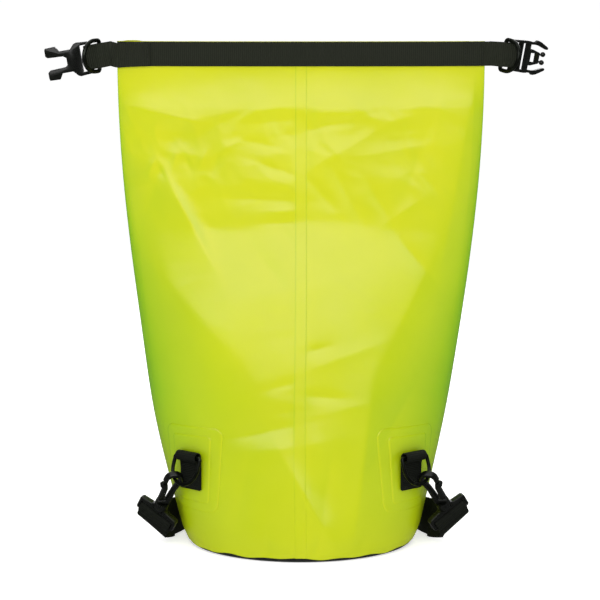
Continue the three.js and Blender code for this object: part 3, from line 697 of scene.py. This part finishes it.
def held_ends(low, high, count):
    """Even steps with one more very close to each end, so that shading stays level up to the edge."""
    even = np.linspace(low, high, count)[1:-1]
    return np.concatenate([[low, low + EDGE_STEP], even, [high - EDGE_STEP, high]])


def foot_wave(turns, heights):
    """The wall's lower edge waves a little where it is welded to the floor."""
    wave = 0.0011 * np.sin(7 * turns + 0.8) * np.sin(3 * turns) + 0.0006 * np.sin(19 * turns)
    reach = np.clip(1 - (heights - WELT_Z) / FOOT_WAVE_HEIGHT, 0, 1)
    return wave[None] * reach[:, None]


def rim_drop(turns, heights):
    """How much lower the mouth's cloth sits, growing from the split between the shells to the rim."""
    back = np.clip(np.sin(turns) * 4, 0, 1)
    rim_x = half_width(BAG_HEIGHT) * np.cos(turns)
    proud = np.exp(-((rim_x - PROUD_X) / PROUD_REACH) ** 4)
    drop = back * (RIM_DROP - PROUD_RISE * proud) - PROUD_FRONT * proud * (1 - back)
    reach = np.clip((heights - SHELL_SPLIT_Z) / (BAG_HEIGHT - SHELL_SPLIT_Z), 0, 1)
    return drop[None] * reach[:, None]


def shell_piece(name, low, high, rows):
    """A stretch of the bag's wall with its inside, open at both ends of the stretch."""
    turns = np.linspace(0, 2 * math.pi, WALL_COLUMNS, endpoint=False)
    heights = held_ends(low, high, rows)
    z, turn = np.meshgrid(heights, turns, indexing="ij")
    z = z + foot_wave(turns, heights) - rim_drop(turns, heights)
    outer = bag_point(turn, z)
    inner = bag_point(turn, z, -WALL_THICK)[::-1]
    run = np.linspace(0, 2 * math.pi * BASE_RADIUS, WALL_COLUMNS + 1)
    uv = uv_grid(np.concatenate([heights, heights[::-1], heights[:1]]), run)[:, :, ::-1]
    piece = closed_piece(name, np.concatenate([outer, inner]), ring=True, uv=uv)
    return dress(piece, YELLOW)


def blend_over_fold(piece):
    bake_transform(piece)


def add_shell():
    """The yellow wall: one sheet, in two stretches that meet at the split below the mouth."""
    wall = shell_piece("bag_shell", WELT_Z, SHELL_SPLIT_Z, 250)
    blend_over_fold(wall)
    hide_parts("bag_wall")
    mouth = shell_piece("mouth_shell", SHELL_SPLIT_Z, BAG_HEIGHT, 18)
    blend_over_fold(mouth)
    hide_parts("roll_panel", "mouth_hem")


def add_base():
    """The black floor: its edge rolls under the wall's foot and its rim is welded inside."""
    turns = np.linspace(0, 2 * math.pi, BASE_COLUMNS, endpoint=False)
    points = np.array([bag_point(turns, np.full_like(turns, z), -inset) for z, inset in BASE_SECTION])
    mesh = grid_mesh("base_cup", points)
    mesh.uv_layers.new(name="cloth")
    base = dress(link(outward(mesh), "base_cup"), BLACK_TARP)
    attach(base, "root")
    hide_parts("base_panel", "base_weld_rim")


# ---- layers welded on the wall
SLAB_EDGE_HOLD = 0.985
SLAB_SINK = 0.0004
SEAM_HALF_WIDTH = 0.0058
SEAM_LIFT = 0.00004
SEAM_THICK = 0.00036
SEAM_ROUNDING = 0.0016
# Each stretch: name, low end, high end, and the fold that lies within it.
SEAM_STRETCHES = (
    ("lap_seam", WELT_Z + 0.001, SHELL_SPLIT_Z, LOWER_FOLD),
    ("lap_seam_top", SHELL_SPLIT_Z, 0.484, UPPER_FOLD),
)
PATCH_THICK = 0.0006
PATCH_ROUNDING = 0.0011
# Each layer: name, half its length along the wall, half its height, corner radius, and lift.
PATCH_LAYERS = (
    ("outer_patch", 0.0345, 0.0425, 0.010, 0.0),
    ("inner_patch", 0.0235, 0.0335, 0.004, PATCH_THICK),
)


def conformal_slab(name, low, high, size, reach, turn_of, lift, thick, rounding, round_ends):
    """A welded layer that follows the wall; reach(z) is its half width, turn_of(along, z) its place."""
    rows, columns = size
    heights = held_ends(low, high, rows)[:, None]
    across = np.linspace(-1, 1, columns)[1:-1]
    across = np.concatenate([[-1, -SLAB_EDGE_HOLD], across, [SLAB_EDGE_HOLD, 1]])[None]
    half = np.array([reach(z) for z in heights[:, 0]])[:, None]
    along = across * half
    z = np.broadcast_to(heights, along.shape)
    inward = (1 - np.abs(across)) * half
    if round_ends:
        inward = np.minimum(inward, np.minimum(heights - low, high - heights))
    ease = np.clip(inward / rounding, 0, 1)
    turn = turn_of(along, z)
    outer = bag_point(turn, z, lift + thick * (1 - (1 - ease) ** 2))
    inner = bag_point(turn, z, lift - SLAB_SINK)[:, ::-1]
    plane = np.stack([along, z], axis=2)
    uv = np.concatenate([plane, plane[:, ::-1], plane[:, :1]], axis=1)
    piece = closed_piece(name, np.concatenate([outer, inner], axis=1), uv=uv)
    return dress(piece, YELLOW)


def add_seam():
    """The lap where the wall's sheet closes: a narrow strip down the middle of the front."""
    for name, low, high, fold in SEAM_STRETCHES:
        seam = conformal_slab(name, low, high, (150, 15), lambda z: SEAM_HALF_WIDTH, turn_at,
                              SEAM_LIFT, SEAM_THICK, SEAM_ROUNDING, round_ends=False)
        blend_over_fold(seam)


def rounded_half(z, half_along, half_up, corner):
    """Half the length of a patch with round corners, at height z."""
    past = max(0.0, abs(z - LUG_Z) - (half_up - corner))
    return half_along - corner + math.sqrt(max(1e-7, corner ** 2 - past ** 2))


def add_patches(side, name):
    """Two welded layers under a low ring, the smaller one on top."""
    for part, half_along, half_up, corner, lift in PATCH_LAYERS:
        patch = conformal_slab(f"{name}_{part}_skin", LUG_Z - half_up, LUG_Z + half_up, (53, 41),
                               lambda z: rounded_half(z, half_along, half_up, corner),
                               lambda along, z: lug_turn_at(side, along, z),
                               lift, PATCH_THICK, PATCH_ROUNDING, round_ends=True)
        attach(patch, "root")
        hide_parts(f"{name}_{part}")


# ---- frames of the hardware
BAND_Z = BAG_HEIGHT - WEB_HIGH / 2
END_GAP = {-1: 0.0065, 1: 0.0069}
END_DROOP = {-1: math.radians(10), 1: math.radians(4)}
TOP_RING_LEAN = math.radians(9)
TOP_RING_TURN = math.radians(-52)
LUG_TURN = math.radians(44.5)
LUG_BAR_Z = 0.0985
LUG_BAR_OUT = 0.0082
LUG_WEB = 0.030
RING_WIRE = 0.0044
RING_STRAIGHT = 0.011
RING_LEAN = math.radians(18)
RING_BAR = 0.0115
HOOK_PLAY = 0.0004
# The way each strap end pulls its hook, and the way the strap's width points there.
HOOK_PULL = {-1: (-0.34, 0.55, -0.763), 1: (0.41, 0.55, -0.763)}
HOOK_WIDTH = {-1: (-0.8, 0.3, 0.52), 1: (0.8, 0.3, 0.52)}


def end_frame(side):
    """The mouth's end on one side, pointing outward along its own +x."""
    start = FLAT_HALF_WIDTH + END_GAP[side]
    turn = Matrix.Rotation(math.pi if side < 0 else 0, 4, "Z") @ Matrix.Rotation(END_DROOP[side], 4, "Y")
    return Matrix.Translation((side * start, 0, BAND_Z)) @ turn


def top_ring_frame(side):
    turn = Matrix.Rotation(TOP_RING_LEAN * side, 4, "Y") @ Matrix.Rotation(TOP_RING_TURN * side, 4, "Z")
    return end_frame(side) @ Matrix.Translation((RING_BAR, 0, 0)) @ turn


def lug_frame(side):
    place = Matrix.Translation((side * LUG_X, front_y(LUG_X, LUG_Z), 0))
    return place @ Matrix.Rotation(side * LUG_TURN, 4, "Z")


def low_ring_frame(side):
    place = Matrix.Translation((0, -LUG_BAR_OUT, LUG_BAR_Z))
    return lug_frame(side) @ place @ Matrix.Rotation(-RING_LEAN, 4, "X")


def hook_frame(side):
    """Where the hook hangs on the ring: x along the strap's width, +z back up to the ring."""
    up = -Vector(HOOK_PULL[side]).normalized()
    along = Vector((side * math.cos(LUG_TURN), math.sin(LUG_TURN), 0))
    outside = Vector((side * math.sin(LUG_TURN), -math.cos(LUG_TURN), 0))
    ring_down = outside * math.sin(RING_LEAN) - Vector((0, 0, math.cos(RING_LEAN)))
    pull = (along * -up.dot(along) + ring_down * -up.dot(ring_down)).normalized()
    origin = Vector((side * LUG_X, front_y(LUG_X, LUG_Z), LUG_BAR_Z)) + outside * LUG_BAR_OUT
    origin += ring_down * RING_STRAIGHT + pull * (LUG_WEB / 2 + HOOK_PLAY + RING_WIRE / 2)
    x = Vector(HOOK_WIDTH[side])
    x = (x - up * x.dot(up)).normalized()
    turn = Matrix((x, up.cross(x), up)).transposed().to_4x4()
    return Matrix.Translation(origin) @ turn


def rows_in(place, points, across):
    """Path rows (point, width direction) of points given in a frame."""
    tip = place.to_3x3() @ Vector(across)
    return [(*(place @ Vector(p)), *tip) for p in points]


# ---- webbing on the mouth
BAND_STATIONS = (-0.178, -0.165, -0.14, -0.11, -0.08, -0.04, 0, 0.04, 0.08, 0.11, 0.14, 0.165, 0.178)
BAND_WIDTH = WEB_HIGH - 0.0006
BAND_OUT = 0.0017
BAND_FROM_X = -0.1832
BAND_TO_X = 0.1835
LAP_OUT = 0.0034
LAP_FROM_X = -0.1508
LAP_TO_X = -0.1835
# Over this distance the lap sinks a little and tips out of level.
LAP_LENGTH = 0.033
LAP_SINK = 0.0016
LAP_TIP = 0.05
# The loop at the mouth's end: out from the cloth and off the middle, in millimetres.
LOOP_FRONT = [(0, 1.7), (4, 2.4), (7, 3.6), (11.5, 3.9), (16, 3.3), (20.6, 3.9), (23.4, 3.4), (25.0, 1.8),
              (25.3, 0)]
LOOP_SEWN = [(4, -2.2), (0, -0.9), (-3, -0.7)]
BATTEN_HALF_LENGTH = 0.165
BATTEN_DEPTH = 0.0022
BATTEN_Z = 0.494
BATTEN_SIZE = (0.022, 0.0008)
HEM_THICK = 0.0006
HEM_HALF_LENGTH = 0.168
# The turned-in cloth's line: behind the front wall, and height.
HEM_SECTION = [(0.0012, 0.5062), (0.0013, 0.5072), (0.0018, 0.5078), (0.0026, 0.5078), (0.0033, 0.5072),
               (0.0036, 0.5060), (0.0036, 0.5000), (0.0035, 0.4920), (0.0031, 0.4836)]


def band_rows(from_x, to_x, out):
    """The line of webbing laid on the front of the mouth, its middle at a distance off the cloth."""
    inner = [x for x in BAND_STATIONS if min(from_x, to_x) < x < max(from_x, to_x)]
    if from_x > to_x:
        inner.reverse()
    return [(x, front_y(x, BAND_Z) - out, BAND_Z, 0, 0, 1) for x in (from_x, *inner, to_x)]


def loop_rows(side):
    """Webbing folded round the ring's bar and the buckle's bar, from its front layer to its back."""
    back = [(x, -y) for x, y in LOOP_FRONT[-2:2:-1]] + LOOP_SEWN
    points = [(x / 1000, -side * y / 1000, 0) for x, y in LOOP_FRONT + back]
    return rows_in(end_frame(side), points, (0, 0, 1))


def swept_webbing(name, rows, count, width, thick, material):
    return dress(web_piece(name, smooth_steps(rows, count), width, thick), material)


def blend_along_x(piece):
    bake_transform(piece)


def lap_row(x, y):
    """A point of the left end's lap, where the webbing sinks and tips as it nears the end."""
    past = (LAP_FROM_X - x) / LAP_LENGTH
    return (x, y, BAND_Z - LAP_SINK * past ** 1.4, -LAP_TIP * past, 0, 1)


def add_band():
    """The front band runs on into the right end's loop; the left end's webbing laps over its start."""
    rows = band_rows(BAND_FROM_X, BAND_TO_X, BAND_OUT) + loop_rows(1)
    band = swept_webbing("front_band_webbing", rows, 420, BAND_WIDTH, WEB_THICK, BAND_WEB)
    blend_along_x(band)
    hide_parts("front_band", "right_end_loop")
    rows = [lap_row(x, y) for x, y, *_ in band_rows(LAP_FROM_X, LAP_TO_X, LAP_OUT)] + loop_rows(-1)
    left = swept_webbing("left_end_webbing", rows, 160, BAND_WIDTH, WEB_THICK, BAND_WEB)
    blend_along_x(left)
    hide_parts("left_band_overlap", "left_end_loop")


def add_batten():
    """The flexible strip inside the front of the mouth that keeps the roll straight."""
    stations = np.linspace(-BATTEN_HALF_LENGTH, BATTEN_HALF_LENGTH, 13)
    rows = [(x, front_y(x, BAND_Z) + BATTEN_DEPTH, BATTEN_Z, 0, 0, 1) for x in stations]
    batten = web_piece("batten", smooth_steps(rows, 90), *BATTEN_SIZE)
    dress(batten, BATTEN)
    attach(batten, "mouth")
    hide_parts("stiffener_strip")


def add_inner_hem():
    """The cloth turned in over the batten along the front of the mouth, and welded down below it."""
    center = np.array(HEM_SECTION)
    way = unit(np.gradient(center, axis=0))
    across = np.stack([-way[:, 1], way[:, 0]], axis=1) * HEM_THICK / 2
    section = np.concatenate([center + across, (center - across)[::-1]])
    stations = np.linspace(-HEM_HALF_LENGTH, HEM_HALF_LENGTH, 97)
    points = np.array([[(x, front_y(x, BAND_Z) + depth, z) for depth, z in section] for x in stations])
    around = np.append(section[:, 1], section[0, 1])
    hem = dress(closed_piece("inner_hem", points, uv=uv_grid(stations, around)), YELLOW)
    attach(hem, "mouth")


# ---- rings, tabs
CORNER = 0.0026
# Each ring's D: half its width, and its straight part's length.
LOW_RING = (LUG_WEB / 2 + 0.0026, RING_STRAIGHT)
TOP_RING = (WEB_HIGH / 2 + 0.003, 0.0075)
LOW_RING_RADIUS = 0.0019
TOP_RING_RADIUS = 0.0021
TAB_ROLL_RADIUS = 0.0045
TAB_WIDTH = LUG_WEB - 0.002
TAB_THICK = 0.0013
# The tab's layer on the wall, and its front layer, in the lug's own y and z.
TAB_BACK = [(-0.0035, LUG_Z - 0.0202), (-0.0035, LUG_Z - 0.008), (-0.0035, LUG_Z + 0.005)]
TAB_FRONT = [(-0.0056, LUG_Z + 0.0062), (-0.0049, LUG_Z), (-0.0049, LUG_Z - 0.010),
             (-0.0049, LUG_Z - 0.0206)]


def arc(center, radius, start, end, count):
    turns = np.linspace(start, end, count)
    return [(center[0] + radius * math.cos(a), center[1] + radius * math.sin(a)) for a in turns]


def d_line(half, straight):
    """A D drawn in (along the bar, out from it), its bar on the first axis."""
    inner = half - CORNER
    bar = [(x, 0) for x in np.linspace(-inner, inner, 9)]
    right = arc((inner, CORNER), CORNER, -math.pi / 2, 0, 6)[1:]
    bow = arc((0, straight), half, 0, math.pi, 33)
    left = arc((-inner, CORNER), CORNER, math.pi, 1.5 * math.pi, 6)[:-1]
    return bar + right + bow + left


def add_ring(name, place, path, radius):
    """One D-ring of round wire, its path given in the ring's own frame."""
    side = place.to_3x3() @ Vector((0, 1, 0))
    ring = wire_ring(f"{name}_wire", [place @ Vector(p) for p in path], radius, side)
    dress(ring, WIRE)
    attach(ring, name)
    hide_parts(name)


def add_rings():
    low = [(a, 0, -b) for a, b in d_line(*LOW_RING)]
    top = [(b, 0, a) for a, b in d_line(*TOP_RING)]
    for side, name in SIDES:
        add_ring(f"{name}_low_ring", low_ring_frame(side), low, LOW_RING_RADIUS)
        add_ring(f"{name}_top_ring", top_ring_frame(side), top, TOP_RING_RADIUS)


def add_lug_tabs():
    """Webbing sewn flat below, rolled over the ring's bar and brought down again in front."""
    roll = arc((-LUG_BAR_OUT, LUG_BAR_Z), TAB_ROLL_RADIUS, -0.25, 1.62 * math.pi, 15)
    points = [(0, y, z) for y, z in TAB_BACK + roll + TAB_FRONT]
    for side, name in SIDES:
        rows = rows_in(lug_frame(side), points, (1, 0, 0))
        tab = swept_webbing(f"{name}_tab_webbing", rows, 110, TAB_WIDTH, TAB_THICK, STRAP_WEB)
        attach(tab, "root")
        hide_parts(f"{name}_lug_tab")


# ---- moulded parts
WELD_DISTANCE = 0.000004
FLAT_ANGLE = math.radians(1.5)
BEVEL_ANGLE = math.radians(24)
SMOOTH_ANGLE = math.radians(38)
# Each part: its node, its body, and how far its edges are rounded; then the parts on both sides.
MOULDED_PARTS = (
    ("buckle_socket", "socket", 0.0003),
    ("buckle_plug", "plug", 0.0002),
    ("plug_prong_upper", "prong_upper", 0.0003),
    ("plug_prong_lower", "prong_lower", 0.0003),
    ("strap_slider", "root", 0.0003),
)
SIDE_PARTS = (("hook", 0.0003), ("gate", 0.0003), ("hook_base", 0.0004))


def rounded_copy(source, rounding):
    """A copy of a mesh with its flats kept whole and its edges rounded as a mould leaves them."""
    mesh = source.copy()
    work = bmesh.new()
    work.from_mesh(mesh)
    bmesh.ops.remove_doubles(work, verts=work.verts, dist=WELD_DISTANCE)
    bmesh.ops.dissolve_limit(work, angle_limit=FLAT_ANGLE, verts=work.verts, edges=work.edges)
    sharp = [e for e in work.edges if len(e.link_faces) == 2 and e.calc_face_angle() > BEVEL_ANGLE]
    bmesh.ops.bevel(work, geom=sharp, offset=rounding, segments=2, profile=0.5, affect="EDGES",
                    clamp_overlap=True)
    work.to_mesh(mesh)
    work.free()
    mesh.polygons.foreach_set("use_smooth", [True] * len(mesh.polygons))
    mesh.set_sharp_from_angle(angle=SMOOTH_ANGLE)
    return mesh


def add_moulded(node, body, rounding):
    piece = link(rounded_copy(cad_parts[node].data, rounding), f"{node}_moulding")
    dress(piece, PLASTIC)
    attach(piece, body)
    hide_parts(node)


def add_hardware():
    for node, body, rounding in MOULDED_PARTS:
        add_moulded(node, body, rounding)
    for _, name in SIDES:
        for part, rounding in SIDE_PARTS:
            add_moulded(f"{name}_{part}", f"{name}_{part}", rounding)


# ---- shoulder strap
# From each hook to the ground: points in millimetres, and the direction of the strap's width.
STRAP_STATIONS = {
    -1: [(-151.1, -21.7, 20.2, 0.78, -0.27, -0.57), (-150.9, -16.7, 17.9, 0.75, -0.26, -0.61),
         (-148.3, -12.2, 19.3, 0.68, -0.24, -0.69), (-137, 3, 19.8, 0.4, -0.14, -0.9),
         (-132.5, 17, 19.6, 0.13, -0.04, -0.99)],
    1: [(155.6, -22.4, 21.9, -0.76, -0.25, -0.61), (155.8, -17.4, 19.6, -0.73, -0.24, -0.64),
        (153.3, -12.8, 20.9, -0.66, -0.22, -0.72), (137, 3, 19.8, -0.39, -0.13, -0.91),
        (132.5, 17, 19.6, -0.12, -0.04, -0.99)],
}
# Round the hook base's bar: down from the ring, and behind the strap's middle, in millimetres.
STRAP_WRAP = [(70, 1.2), (66, 1.4), (63.4, 3.4), (60, 4.2), (56.6, 4.1), (54.2, 2.7), (53.6, 0), (54.2, -2.7),
              (56.6, -4.1), (60, -4.2), (63.4, -3.4), (66, -1.4), (70, -0.9)]
STRAP_TURN_REACH = 0.0755
BELT_Z = STRAP_WIDTH / 2 + 0.0004
BELT_HALF_X = 0.1295
BELT_HALF_Y = 0.1205
BELT_DEGREES = np.linspace(165, 15, 19)
RETURN_DEGREES = np.linspace(69, 141, 13)
RETURN_OUT = STRAP_THICK + 0.0006
WEB_SKIN = STRAP_THICK - 0.0002


def belt_rows(degrees, out=0.0):
    """The strap on edge round the back of the bag, its width upright."""
    turns = np.radians(degrees)
    return [((BELT_HALF_X + out) * math.cos(a), (BELT_HALF_Y + out) * math.sin(a), BELT_Z, 0, 0, -1)
            for a in turns]


def strap_end_rows(side):
    """From the sewn end behind the bar, over the bar, down the front and back to the ground."""
    points = [(0, side * behind / 1000, -reach / 1000) for reach, behind in STRAP_WRAP]
    rows = rows_in(hook_frame(side), points, (-1, 0, 0))
    return rows + [(x / 1000, y / 1000, z / 1000, *width) for x, y, z, *width in STRAP_STATIONS[side]]


def nearest(line, point):
    """The index of the line's sample nearest to a point."""
    return int(np.argmin(np.linalg.norm(line[:, :3] - np.array(point), axis=1)))


def strap_piece(name, line):
    return dress(web_piece(name, line, STRAP_WIDTH, WEB_SKIN), STRAP_WEB)


def blend_span(piece, line):
    """Bakes a stretch of webbing into world space; the way from its first row to its last is worked out but
    not used.
    """
    first, last = line[0], line[-1]
    way = last[:3] - first[:3]
    way /= np.linalg.norm(way)
    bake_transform(piece)


def add_strap_end(side, name, line):
    """Three spans from a hook base to the bag; returns where they end.

    The second one ends where the strap folds, at its third station, and the last one at its fifth.
    """
    down = hook_frame(side)
    first = nearest(line, down @ Vector((0, 0, -STRAP_TURN_REACH)))
    second, third = (nearest(line, Vector(STRAP_STATIONS[side][k][:3]) / 1000) for k in (2, 4))
    end = strap_piece(f"{name}_strap_end_web", line[:first + 1])
    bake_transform(end)
    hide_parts(f"{name}_strap_end")
    turn = line[first:second + 1]
    blend_span(strap_piece(f"{name}_strap_turn_web", turn), turn)
    slack = line[second:third + 1]
    blend_span(strap_piece(f"{name}_strap_slack_web", slack), slack)
    return third


def add_strap():
    """One webbing ribbon from hook to hook, lying on edge on the ground round the back of the bag."""
    rows = strap_end_rows(-1) + belt_rows(BELT_DEGREES) + strap_end_rows(1)[::-1]
    line = smooth_steps(rows, 760)
    left_cut = add_strap_end(-1, "left", line)
    right_cut = add_strap_end(1, "right", line[::-1])
    main_line = line[left_cut:len(line) - right_cut]
    main_web = strap_piece("strap_webbing", main_line)
    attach(main_web, "root")
    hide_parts("shoulder_strap")
    double = swept_webbing("strap_return_web", belt_rows(RETURN_DEGREES, RETURN_OUT), 150,
                           STRAP_WIDTH - 0.0004, STRAP_THICK - 0.0004, STRAP_WEB)
    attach(double, "root")
    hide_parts("strap_return")


# ---- sewing
STITCH_LONG = 0.0023
STITCH_PITCH = 0.0031
STITCH_RADIUS = 0.00032
STITCH_RINGS = 7
STITCH_SIDES = 6
# Any direction that no stitch runs along.
STITCH_SIDE = (0.31, 0.52, 0.80)
ROW_LOW = BAND_Z - 0.0100
ROW_HIGH = BAND_Z + 0.0100
FOOT_ROW_Z = ROW_LOW - 0.0008
FOOT_ROW_X = (-0.1480, 0.1640)
LAP_ROWS_X = (-0.1532, -0.1575, -0.1735)
RIGHT_BOX_X = (0.1640, 0.1815)
TAB_BOX_HALF = 0.0115
TAB_BOX_Z = (LUG_Z - 0.0185, LUG_Z - 0.0100)
BAND_STITCH_OUT = 0.0026
LAP_STITCH_OUT = 0.0043
TAB_STITCH_OUT = 0.00540


def capsule(start, end):
    """One stitch as rings of points from start to end, thickest in its middle."""
    steps = np.linspace(0, 1, STITCH_RINGS)
    swell = STITCH_RADIUS * np.sqrt(np.clip(1 - (2 * steps - 1) ** 4, 0.04, 1))
    way = (end - start) / np.linalg.norm(end - start)
    side = np.cross(way, STITCH_SIDE)
    side /= np.linalg.norm(side)
    other = np.cross(way, side)
    turn = np.linspace(0, 2 * math.pi, STITCH_SIDES, endpoint=False)
    rings = start + (end - start) * steps[:, None]
    around = side[None] * np.cos(turn)[:, None] + other[None] * np.sin(turn)[:, None]
    return rings[:, None] + around[None] * swell[:, None, None]


def stitch_ends(start, end):
    """The two ends of each stitch along a straight line, in the line's own coordinates."""
    start, end = np.array(start), np.array(end)
    count = max(1, round(math.dist(start, end) / STITCH_PITCH))
    half = STITCH_LONG / STITCH_PITCH / count / 2
    middles = [(k + 0.5) / count for k in range(count)]
    return [(start + (end - start) * (t - half), start + (end - start) * (t + half)) for t in middles]


def sew(name, lines, place, body):
    """Stitches along straight lines drawn in two coordinates; place(u, v) puts them on the cloth."""
    points, faces = [], []
    for line in lines:
        for first, last in stitch_ends(*line):
            faces += grid_faces(STITCH_RINGS, STITCH_SIDES, base=len(points))
            rings = capsule(np.array(place(*first)), np.array(place(*last)))
            points.extend(rings.reshape(-1, 3))
    piece = dress(link(outward(new_mesh(name, points, faces)), name), THREAD)
    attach(piece, body)


def box_lines(low_u, high_u, low_v, high_v):
    corners = [(low_u, low_v), (high_u, low_v), (high_u, high_v), (low_u, high_v)]
    return [(corners[k], corners[(k + 1) % 4]) for k in range(4)]


def off_mouth(out):
    return lambda x, z: (x, front_y(x, BAND_Z) - out, z)


def add_sewing():
    """Stitches on the left lap, round the right end, along the band's foot, and crossed on each tab."""
    lap_rows = [((x, ROW_LOW), (x, ROW_HIGH)) for x in LAP_ROWS_X]
    sew("left_overlap_stitches", lap_rows, off_mouth(LAP_STITCH_OUT), "mouth")
    right_box = box_lines(*RIGHT_BOX_X, ROW_LOW, ROW_HIGH)
    sew("right_band_stitches", right_box, off_mouth(BAND_STITCH_OUT), "mouth")
    foot_row = [tuple((x, FOOT_ROW_Z) for x in FOOT_ROW_X)]
    sew("band_foot_stitches", foot_row, off_mouth(BAND_STITCH_OUT), "mouth")
    box = box_lines(-TAB_BOX_HALF, TAB_BOX_HALF, *TAB_BOX_Z)
    crossed = box + [(box[0][0], box[2][0]), (box[1][0], box[3][0])]
    for side, name in SIDES:
        lug = lug_frame(side)
        sew(f"{name}_tab_stitches", crossed, lambda u, v: lug @ Vector((u, -TAB_STITCH_OUT, v)), "root")


def main():
    add_camera()
    add_floor()
    add_light()
    add_strap()
    add_shell()
    add_base()
    add_seam()
    for side, name in SIDES:
        add_patches(side, name)
    add_band()
    add_batten()
    add_inner_hem()
    add_rings()
    add_lug_tabs()
    add_hardware()
    add_sewing()


main()
